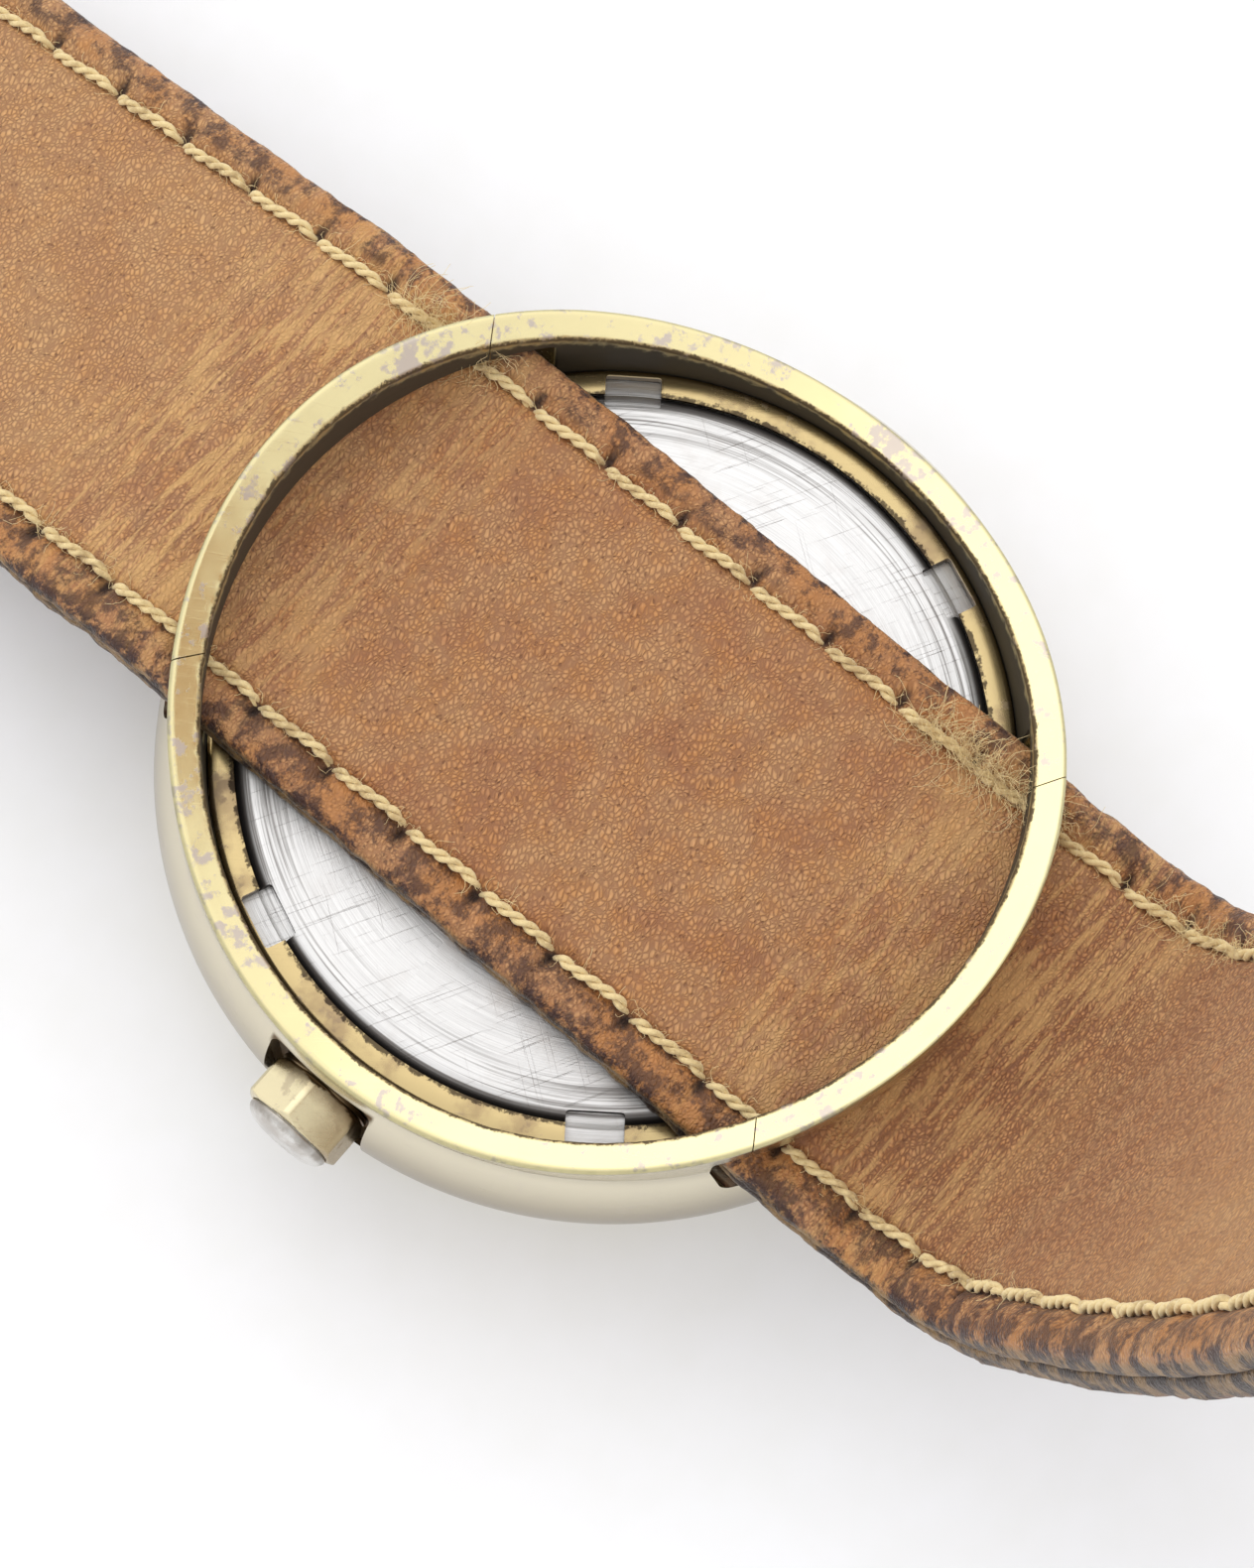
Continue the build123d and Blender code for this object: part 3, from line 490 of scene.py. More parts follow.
def brushedSteel(name, colour):
    steel = Finish(name, Metallic=1.0)
    at = steel.place()
    radius, angle, _, _, z = around(steel, at)
    rings = steel.cloud(steel.joined(radius * 20.0, angle * 2.6, 0.0), 1.0, 4, 0.65)
    ringsWide = steel.cloud(steel.joined(radius * 3.0, angle * 1.3, 3.0), 1.0, 3, 0.5)
    turned = steel.node("ShaderNodeVectorRotate", {"rotation_type": "AXIS_ANGLE"},
                        {"Vector": at, "Angle": 0.5})
    across = steel.cloud(steel.scaled(turned, 0.14, 15.0, 1.0), 1.3, 3, 0.6)
    other = steel.node("ShaderNodeVectorRotate", {"rotation_type": "AXIS_ANGLE"},
                       {"Vector": at, "Angle": 2.2})
    crossed = steel.cloud(steel.scaled(other, 0.12, 12.0, 1.0), 1.1, 3, 0.6)
    scratch = across.ramp(0.63, 0.70) * 0.6 + crossed.ramp(0.66, 0.73) * 0.4
    stain = steel.cloud(at, 0.5, 5, 0.6)
    tone = steel.blend(rings.ramp(0.35, 0.7) * 0.5, colour, tuple(c * 0.62 for c in colour))
    tone = steel.blend(scratch * 0.35, tone, (0.36, 0.33, 0.31))
    tone = steel.blend(stain.ramp(0.5, 0.7) * 0.3, tone, (0.52, 0.48, 0.45))
    rough = 0.27 + ringsWide * 0.12 + rings * 0.1 + scratch * 0.12
    # grime and painted shade in the groove round the disc, and painted shade on the notches' walls
    band = radius.ramp(14.25, 14.5) * radius.ramp(14.9, 14.7) * z.ramp(8.42, 8.55)
    wall = z.ramp(8.80, 8.72) * z.ramp(8.37, 8.42)
    grimeAndShade = (band * (stain + rings * 0.5).ramp(0.46, 0.60)).most(wall)
    tone = steel.blend(grimeAndShade * 0.9, tone, (0.03, 0.022, 0.018))
    rough = rough + grimeAndShade * 0.3
    # turned lines towards the disc's edge, painted dark as reflections
    reflectedTurnedLines = steel.cloud(steel.joined(radius * 7.0, angle * 1.1, 9.0), 1.0, 4, 0.6)
    outerBand = radius.ramp(12.4, 13.6) * radius.ramp(14.6, 14.5)
    tone = steel.blend(outerBand * reflectedTurnedLines.ramp(0.48, 0.62) * 0.68, tone, (0.10, 0.085, 0.075))
    height = rings * 0.8 - scratch * 0.8 + ringsWide * 0.9
    return steel.set(Base_Color=tone, Roughness=rough,
                     Normal=steel.relief(height, 0.012, strength=1.0))


goldPlate = casePlate()
goldRing = ringPlate()


def crownPlate():
    # darker towards the case, and painted shade down the facets turned from the light
    gold, look = goldFinish("crownGold", (0.74, 0.65, 0.42), (0.52, 0.44, 0.30), 0.2)
    x, y, spots = look["x"], look["y"], look["spots"]
    behind = (x - spots * 0.5).ramp(-18.3, -17.35)
    # painted shade on the facets turned from the light
    aside = (y * 0.9 + (look["z"] - 6.5) * 0.3 + spots * 0.8).ramp(0.9, -1.0)
    look["stains"] = [(aside * 0.65, (0.24, 0.15, 0.065)), (behind * 0.8, (0.11, 0.055, 0.020))]
    look["stainRough"] = 0.08
    return goldDone(gold, look)


def crownSteel():
    # polished, with a dark ring round its edge painted as shade in the groove where the cap meets the head
    steel = Finish("crownCapSteel", Metallic=1.0)
    at = steel.place()
    _, y, z = steel.parts(at)
    reach = (y * y + (z - 6.5) * (z - 6.5)).root()
    haze = steel.cloud(at, 1.3, 4, 0.6)
    fine = steel.cloud(steel.scaled(at, 1.0, 8.0, 2.0), 3.0, 3, 0.6)
    # painted shade where the cap meets the head
    rim = (reach + haze * 0.3).ramp(1.78, 2.00)
    tone = steel.blend(haze.ramp(0.35, 0.65), (0.74, 0.73, 0.70), (0.52, 0.49, 0.45))
    tone = steel.blend(rim * 0.55, tone, (0.18, 0.15, 0.12))
    return steel.set(Base_Color=tone, Roughness=0.14 + haze * 0.12 + rim * 0.15,
                     Normal=steel.relief(fine * 0.5 + haze, 0.01, strength=0.6))


goldCrown = crownPlate()
goldBuckle = goldDone(*goldFinish("buckleGold", (0.86, 0.74, 0.44), (0.50, 0.45, 0.38), 0.6))
backSteel = brushedSteel("circularBrushedBack", (0.76, 0.75, 0.74))
capSteel = crownSteel()


# case: one turned blank whose rear rim follows the wrist, cut for the strap, the bars and the crown
caseSizes = {
    "rimRadius": 17.0, "rimInner": 15.8, "flankRadius": 18.0, "flankAt": 6.2,
    "wristRadius": wristRadius, "rimLow": rimLow, "barUnder": 11.5,
    "slotFloor": 8.5, "slotHalf": 10.45,
    "barHalfAngle": 31.0, "seamSlant": 5.95, "seamGap": 0.05,
    "outerBevel": 0.24, "innerBevel": 0.09,
    "segments": 720,
    "pocketWidth": 4.9, "pocketHeight": 5.5, "pocketCorner": 0.5, "pocketFloor": -16.9, "pocketAt": 6.6,
}


def rimHeight(y):
    size = caseSizes
    return size["rimLow"] + size["wristRadius"] - sqrt(size["wristRadius"] ** 2 - y * y)


def arcThrough(a, b, c, steps):
    # points on the circle through three points, from a to c
    (ax, ay), (bx, by), (cx, cy) = a, b, c
    d = 2 * (ax * (by - cy) + bx * (cy - ay) + cx * (ay - by))
    ux = ((ax ** 2 + ay ** 2) * (by - cy) + (bx ** 2 + by ** 2) * (cy - ay)
          + (cx ** 2 + cy ** 2) * (ay - by)) / d
    uy = ((ax ** 2 + ay ** 2) * (cx - bx) + (bx ** 2 + by ** 2) * (ax - cx)
          + (cx ** 2 + cy ** 2) * (bx - ax)) / d
    start, end = atan2(ay - uy, ax - ux), atan2(cy - uy, cx - ux)
    radius = hypot(ax - ux, ay - uy)
    return [(ux + radius * cos(start + (end - start) * i / steps),
             uy + radius * sin(start + (end - start) * i / steps)) for i in range(steps + 1)]


def caseBlank(name):
    # profile rows are (radius, drop, follow): with follow the z is measured down from the rim
    size = caseSizes
    outer, inner = size["rimRadius"], size["rimInner"]
    bevel, nip = size["outerBevel"], size["innerBevel"]
    flank = arcThrough((16.3, 1.25), (size["flankRadius"], size["flankAt"]), (outer, 9.7), 22)
    low = rounded([(14.4, 2.65), (14.4, 1.2), (14.8, 0.8), (15.7, 0.8), (16.3, 1.25)], 0.15, 3, False)
    profile = [(r, z, -1.0) for r, z in low[:-1] + flank]
    profile += [(outer, share, 2.0) for share in (0.2, 0.4, 0.6, 0.8, 0.92)]
    profile += [(outer - bevel * (1 - cos(radians(t))), bevel * (1 - sin(radians(t))), 0.0)
                for t in (0, 22, 45, 67, 90)]
    across = 9
    face = outer - bevel, inner + nip
    profile += [(face[0] + (face[1] - face[0]) * i / across, 0.0, 0.0) for i in range(1, across)]
    profile += [(inner + nip * (1 - sin(radians(t))), nip * (1 - cos(radians(t))), 0.0)
                for t in (0, 30, 60, 90)]
    profile += [(inner, share, 3.0) for share in (0.85, 0.7, 0.55, 0.4, 0.25, 0.1)]
    profile += [(inner, 8.2, -1.0), (inner, 7.8, -1.0), (14.25, 7.8, -1.0), (14.25, 5.5, -1.0),
                (14.25, 3.35, -1.0), (13.6, 3.35, -1.0), (13.6, 2.65, -1.0)]

    def heightAt(x, y, z, follow):
        rim = rimHeight(y)
        if follow < 0:
            return z
        if follow == 0:
            return rim - z
        if follow == 2:
            return 9.7 + z * (rim - bevel - 9.7)
        return 8.2 + z * (rim - nip - 8.2)

    return lathe(name, profile, size["segments"], heightAt)


def wearRim(piece, seed):
    # dents along the inner edge, and a slight unevenness of the rim's face
    size = caseSizes
    for vertex in piece.data.vertices:
        x, y, z = vertex.co / mm
        radius = hypot(x, y)
        under = rimHeight(y) - z
        if radius < 15.5 or radius > 17.05 or under > 0.3:
            continue
        where = Vector((x, y, seed))
        nip = max(0.0, noise.noise(where * 2.3) + 0.5 * noise.noise(where * 6.1) - 0.1)
        edge = exp(-((radius - size["rimInner"]) / 0.12) ** 2)
        nipOut = max(0.0, noise.noise(where * 1.7 + Vector((9, 0, 0))) - 0.15)
        rimOut = exp(-((radius - size["rimRadius"] + 0.1) / 0.1) ** 2)
        vertex.co.z -= mm * (0.07 * nip * edge + 0.03 * nipOut * rimOut
                             + 0.012 * noise.noise(where * 0.8))
        grow = 1 + 0.05 * nip * edge / radius
        vertex.co.x *= grow
        vertex.co.y *= grow


def barWedge(name, middle, grow):
    # the piece of the rim over the strap, between two slanting seams
    size = caseSizes
    corners = []
    for radius, lean in ((13.0, -1), (20.0, 1)):
        reach = size["barHalfAngle"] + lean * size["seamSlant"] + grow / radius * 180 / pi
        corners.append([(radius * cos(radians(middle + side * reach)),
                         radius * sin(radians(middle + side * reach))) for side in (-1, 1)])
    outline = [corners[0][0], corners[1][0], (0, corners[1][0][1] * 1.6), corners[1][1], corners[0][1]]
    return prism(name, outline, size["barUnder"], 20)


def circle(radius, count):
    return [(radius * cos(tau * i / count), radius * sin(tau * i / count)) for i in range(count)]


def roundedBox(width, height, corner, steps=6):
    points = []
    for cx, cy, start in ((1, 1, 0), (-1, 1, 90), (-1, -1, 180), (1, -1, 270)):
        for step in range(steps + 1):
            angle = radians(start + 90 * step / steps)
            points.append((cx * (width / 2 - corner) + corner * cos(angle),
                           cy * (height / 2 - corner) + corner * sin(angle)))
    return points


def makeCase():
    size = caseSizes
    body = caseBlank("caseBody")
    bars = {hour: caseBlank("strapBar" + hour) for hour in ("12", "6")}
    middles = {"12": 90, "6": -90}
    cutters = []
    for hour, middle in middles.items():
        exact = barWedge("wedge" + hour, middle, 0.0)
        wider = barWedge("gap" + hour, middle, size["seamGap"])
        cutWith(bars[hour], [exact], "INTERSECT")
        cutters += [exact, wider]
        slot = roundedBox(2 * size["slotHalf"], size["barUnder"] - size["slotFloor"], 0.35)
        turn = Matrix(((1, 0, 0), (0, 0, 1 if middle > 0 else -1), (0, 1, 0)))
        middleZ = (size["barUnder"] + size["slotFloor"]) / 2
        window = prism("slot" + hour, [(x, z + middleZ) for x, z in slot], 11, 19, turn)
        cutters.append(window)
    toCrown = Matrix(((0, 0, -1), (1, 0, 0), (0, 1, 0)))
    pocket = prism("pocket", [(y, z + size["pocketAt"]) for y, z in
                              roundedBox(size["pocketWidth"], size["pocketHeight"], size["pocketCorner"])],
                   -size["pocketFloor"], 20, toCrown)
    bore = prism("bore", [(1.25 * cos(tau * i / 48), 6.5 + 1.25 * sin(tau * i / 48)) for i in range(48)],
                 13, 18, toCrown)
    cutters += [pocket, bore]
    cutWith(body, [c for c in cutters if not c.name.startswith("wedge")])
    wearRim(body, 1.0)
    finishPiece(body, goldPlate, "case", "gold_plate", "case_body")
    for hour, bar in bars.items():
        wearRim(bar, 1.0)
        finishPiece(bar, goldPlate, "case", "gold_plate", "strap_bar_" + hour)
    removeAll(*cutters)


makeCase()
print("case and strap bars made")


# case back and its lock ring with wrench notches
backSizes = {
    "discRadius": 14.55, "faceAt": 8.86, "seatRadius": 15.6, "ringInner": 14.7, "ringOuter": 15.75,
    "notchFirst": 37.3, "notchWidth": 2.25, "notchInner": 14.2, "notches": 6,
}


def notchCutters(length, floor):
    size = backSizes
    cutters = []
    for index in range(size["notches"]):
        angle = radians(size["notchFirst"] + index * 360 / size["notches"])
        outline = []
        for x, y in roundedBox(length, size["notchWidth"], 0.14, 3):
            x += size["notchInner"] + length / 2
            outline.append((x * cos(angle) - y * sin(angle), x * sin(angle) + y * cos(angle)))
        cutters.append(prism("notch" + str(index), outline, floor, 10))
    return cutters


def makeBack():
    size = backSizes
    face = size["faceAt"]
    profile = [(0, 8.0)] + rounded([(5.0, 8.0), (size["seatRadius"], 8.0), (size["seatRadius"], 8.35),
                                    (14.78, 8.35), (size["discRadius"], face - 0.1), (14.1, face),
                                    (5.0, face)], 0.08, 3, False) + [(0, face)]
    back = lathe("caseBack", profile, 480, sharp=40)
    cutters = notchCutters(1.9, 8.36)
    cutWith(back, cutters, sharp=40)
    finishPiece(back, backSteel, "case", "steel_back", "case_back")
    removeAll(*cutters)
    ring = lathe("backLockRing", rounded([(14.85, 8.4), (size["ringOuter"], 8.4), (size["ringOuter"], 8.75),
                                          (15.6, 8.85), (size["ringInner"], 8.85)], 0.07, 3), 480, sharp=40)
    cutters = notchCutters(1.3, 8.3)
    cutWith(ring, cutters, sharp=40)
    finishPiece(ring, goldRing, "case", "gold_ring", "back_lock_ring")
    removeAll(*cutters)


makeBack()
print("case back made")


# crown: a hexagon with turned chamfers, a flange behind it and a domed steel cap
crownSizes = {
    "axisZ": 6.5, "corner": 2.3, "turn": 5.0, "cornerRound": 0.16,
    "flange": (-16.95, -17.2, 2.05), "head": (-17.2, -19.1), "chamfer": 0.34, "endRadius": 1.98,
    "capRadius": 1.85, "capTop": -19.75, "segments": 216,
}


def makeCrown():
    size = crownSizes
    segments = size["segments"]
    flat = size["corner"] * cos(radians(30))
    start, end = size["head"]

    def hexRadius(angle):
        turned = (angle - radians(size["turn"])) % (pi / 3) - pi / 6
        return min(flat / cos(turned), size["corner"] - size["cornerRound"] * 0.4)

    levels = [(start, 0.9), (start, size["endRadius"] - 0.1)]
    steps = 6
    for step in range(steps + 1):
        t = step / steps
        levels.append((start - size["chamfer"] * t, size["endRadius"] + 0.34 * sin(t * pi / 2)))
    levels += [(start + (end - start) * share, 9.0) for share in (0.3, 0.4, 0.5, 0.6, 0.7)]
    for step in range(steps, -1, -1):
        t = step / steps
        levels.append((end + size["chamfer"] * 0.8 * t, size["endRadius"] - 0.02 + 0.36 * sin(t * pi / 2)))
    levels += [(end, 1.86), (end + 0.12, 1.84), (end + 0.12, 0.9)]
    points = []
    for x, limit in levels:
        for segment in range(segments):
            angle = tau * segment / segments
            radius = min(hexRadius(angle), limit)
            points.append((x, radius * sin(angle), size["axisZ"] + radius * cos(angle)))
    faces = gridFaces(len(levels), segments, loopColumns=True)
    faces += [tuple(range(segments)), tuple(range(len(points) - segments, len(points)))]
    # flange behind the head
    first = len(points)
    near, far, reach = size["flange"]
    collar = [(near, 1.3), (near, reach - 0.06), (near - 0.05, reach), (far + 0.06, reach),
              (far + 0.01, reach - 0.06), (far + 0.01, 1.3)]
    for x, radius in collar:
        for segment in range(segments):
            angle = tau * segment / segments
            points.append((x, radius * sin(angle), size["axisZ"] + radius * cos(angle)))
    faces += gridFaces(len(collar), segments, True, True, first)
    head = makeMesh("crownHead", points, faces, sharp=28)
    facingOut(head)
    shadeSmooth(head.data, 28)
    finishPiece(head, goldCrown, "stem", "gold_plate", "crown")

    cap = [(end + 0.1, 1.0), (end + 0.1, size["capRadius"] - 0.1), (end - 0.03, size["capRadius"] - 0.1),
           (end - 0.05, size["capRadius"] - 0.03)]
    reach = size["capTop"] - end
    for step in range(1, 12):
        t = step / 12
        cap.append((end - 0.03 + (reach + 0.03) * sin(t * pi / 2) ** 0.9,
                    size["capRadius"] * cos(t * pi / 2) ** 0.55))
    points = [(x, radius * sin(tau * s / 96), size["axisZ"] + radius * cos(tau * s / 96))
              for x, radius in cap for s in range(96)]
    faces = gridFaces(len(cap), 96, loopColumns=True) + [tuple(range(96))]
    pole = len(points)
    points.append((size["capTop"], 0, size["axisZ"]))
    last = pole - 96
    faces += [(last + s, last + (s + 1) % 96, pole) for s in range(96)]
    dome = makeMesh("crownCap", points, faces, sharp=40)
    facingOut(dome)
    shadeSmooth(dome.data, 40)
    finishPiece(dome, capSteel, "stem", "polished_steel", "crown_cap")


makeCrown()
print("crown made")


# the strap's path: straight runs (length, 0, 0) and arcs of its underside (0, radius, turn)
strapSizes = {
    "half": 10.0, "thick": 2.1, "seam": 1.1, "floor": 8.95,
    "buckleRuns": [(15.4, 0, 0), (0, -25, 10), (36.9, 0, 0), (0, 40, 10), (27.6, 0, 0)],
    "tailRuns": [(19.0, 0, 0), (0, 7.0, 72), (0, 110, 14), (0, 230, 60 / 230 * 180 / pi)],
    "fineFrom": -33.0, "fineTo": 48.0, "fineStep": 0.2, "coarseStep": 0.6,
    "stitchLine": 8.0, "pitch": 3.7, "tipStart": 7.0, "tipRadius": 10.64,
    "holes": [14 + 6.5 * hole for hole in range(6)], "holeRadius": 0.9,
}


def strapPath():
    # (s, y, z, slope) every small step from the tail's tip to the spring bar, s = 0 mid-case
    size = strapSizes
    step = 0.1
    both = []
    for runs in (size["tailRuns"], size["buckleRuns"]):
        slope, slopes, lengths = 0.0, [], []
        for length, radius, turn in runs:
            length = abs(radius) * radians(turn) if radius else length
            count = max(1, round(length / step))
            for index in range(count):
                if radius:
                    slope += copysign(radians(turn) / count, radius)
                slopes.append(slope - (copysign(radians(turn) / count, radius) / 2 if radius else 0))
                lengths.append(length / count)
        smooth = []
        reach = 9
        for index in range(len(slopes)):
            span = slopes[max(0, index - reach):index + reach + 1]
            smooth.append(sum(span) / len(span))
        s, y, z = 0.0, 0.0, size["floor"]
        rows = [(0.0, y, z, 0.0)]
        for a, length in zip(smooth, lengths):
            s += length
            y += length * cos(a)
            z += length * sin(a)
            rows.append((s, y, z, a))
        both.append(rows)
    tail = [(-s, -y, z, -a) for s, y, z, a in both[0]][:0:-1]
    return tail + both[1]


path = strapPath()
tailS, buckleS = path[0][0], path[-1][0]


def strapFrame(s):
    # point of the underside, and the direction towards the wrist
    low, high = 0, len(path) - 1
    while high - low > 1:
        half = (low + high) // 2
        if path[half][0] <= s:
            low = half
        else:
            high = half
    a, b = path[low], path[high]
    t = (s - a[0]) / (b[0] - a[0])
    slope = a[3] + (b[3] - a[3]) * t
    return a[1] + (b[1] - a[1]) * t, a[2] + (b[2] - a[2]) * t, -sin(slope), cos(slope)


def strapPoint(u, height, s):
    y, z, ny, nz = strapFrame(s)
    return (u, y + height * ny, z + height * nz)


def stitchPhase(s):
    # 0 at a stitch hole, 1 half way between two
    return abs(sin(pi * s / strapSizes["pitch"]))


def halfWidth(s):
    # the tail's tip is a blunt point
    size = strapSizes
    left = s - tailS
    if left >= size["tipStart"]:
        return size["half"]
    return sqrt(max(0.0, size["tipRadius"] ** 2 - (size["tipRadius"] - left) ** 2))


def layerProfile(face, seam):
    # half of a layer's section from the seam round its edge to the middle: (u, height, nu, nh, wall)
    size = strapSizes
    up = 1 if face > seam else -1
    half, corner = size["half"], 0.5
    points = [(half - 0.22, seam, 1, 0, 1.0), (half - 0.08, seam + up * 0.07, 1, 0, 1.0),
              (half, seam + up * 0.2, 1, 0, 1.0), (half + 0.02, seam + up * 0.35, 1, 0, 1.0)]
    steps = 7
    for step in range(steps + 1):
        angle = radians(90 * step / steps)
        points.append((half - corner + corner * cos(angle), face - up * corner * (1 - sin(angle)),
                       cos(angle), up * sin(angle), 1 - step / steps))
    u = half - corner
    while u > 0.2:
        u -= 0.13 if u > 7.25 else 0.32
        points.append((max(u, 0.0), face, 0, up, 0.0))
    if points[-1][0] > 0:
        points.append((0.0, face, 0, up, 0.0))
    return points


def leatherRise(u, s, side, wall):
    # how far the finished face stands above or below the plain layer
    size = strapSizes
    across = abs(u) - size["stitchLine"]
    hole = ((s / size["pitch"] + 0.5) % 1 - 0.5) * size["pitch"]
    stitched = 1.0 if s - tailS > 9 else 0.0
    groove = exp(-(across / 0.30) ** 2) * stitched
    slit = (across - 0.28) / (0.62 if across > 0.28 else 0.42)
    pit = exp(-slit ** 2 - (hole / 0.27) ** 2) * stitched
    between = stitchPhase(s)
    where = Vector((u * 0.3 + side * 31, s * 0.3, side * 7.0))
    rise = -0.22 * groove - 0.36 * pit
    rise += 0.17 * exp(-((abs(u) - 8.95) / 0.5) ** 2) * (0.3 + 0.7 * between + noise.noise(where * 3))
    rise += 0.06 * exp(-((abs(u) - 7.2) / 0.5) ** 2) * (0.5 + 0.5 * between)
    rise += 0.05 * noise.noise(where * 1.1) + 0.02 * noise.noise(Vector((u * 0.25, s * 2.2, side)))
    rise += 0.03 * noise.noise(Vector((u * 1.6, s * 1.6, side + 4.0)))
    if wall > 0.3:
        rise += 0.07 * noise.noise(Vector((s * 0.9, side * 3 + u, wall * 2)))
        rise += 0.04 * noise.noise(Vector((s * 2.7, side * 3 + u, wall * 4)))
    return rise, groove, pit


def makeLayer(name, face, seam, side):
    size = strapSizes
    half = layerProfile(face, seam)
    section = half + [(-u, h, -nu, nh, wall) for u, h, nu, nh, wall in half[-2::-1]]
    inside = [-size["half"] + 0.22 + (2 * size["half"] - 0.44) * i / 8 for i in range(1, 8)]
    section += [(u, seam, 0, 0, 1.0) for u in inside]
    stops = [tailS + 0.02, tailS + 0.12, tailS + 0.3, tailS + 0.6, tailS + 1.0, tailS + 1.5]
    s = tailS + 2.0
    while s < buckleS - 0.3:
        stops.append(s)
        s += size["fineStep"] if size["fineFrom"] < s < size["fineTo"] else size["coarseStep"]
    stops.append(buckleS)
    points, maps, edges, pits = [], [], [], []
    count = len(section)
    for s in stops:
        y, z, ny, nz = strapFrame(s)
        width = halfWidth(s) / size["half"]
        wave = [0.10 * noise.noise(Vector((s * 0.22, q * 5.0, 2.0)))
                + 0.05 * noise.noise(Vector((s * 0.8, q * 5.0, 6.0))) for q in (-1, 1)]
        edgeRun = 0.0
        for index, (u, h, nu, nh, wall) in enumerate(section):
            groove = pit = 0.0
            if nu or nh:
                rise, groove, pit = leatherRise(u, s, side, wall)
                calm = min(1.0, (buckleS - s) / 3)
                raised = h + nh * rise * calm
                shifted = u + nu * rise * calm
            else:
                shifted, raised = u, h
            shifted = shifted * width + (wave[1] if u > 0 else wave[0]) * (abs(u) / size["half"]) ** 4
            points.append((shifted, y + raised * ny, z + raised * nz))
            if index:
                last = section[index - 1]
                edgeRun += hypot(u - last[0], h - last[1])
            maps.append((size["half"] + 0.6 - edgeRun if nu or nh else u, s))
            edges.append(wall)
            # the pit mask carries painted shade for the stitch holes and the groove
            pits.append(max(pit, 0.35 * groove))
    faces = gridFaces(len(stops), count, loopColumns=True)
    faces += [tuple(range(count))[::-1], tuple(range(len(points) - count, len(points)))]
    piece = makeMesh(name, points, faces, maps, {"edge": edges, "pit": pits}, sharp=60)
    facingOut(piece)
    shadeSmooth(piece.data, 60)
    cutters = []
    for index, away in enumerate(size["holes"]):
        s = tailS + away
        y, z, ny, nz = strapFrame(s)
        turn = Matrix(((1, 0, 0), (0, nz, ny), (0, -ny, nz)))
        cutter = prism("punch" + str(index), circle(size["holeRadius"], 40), -1.5, 3.6, turn)
        cutter.data.transform(Matrix.Translation(Vector((0, y, z)) * mm))
        cutters.append(cutter)
    cutWith(piece, cutters, sharp=60)
    removeAll(*cutters)
    return piece


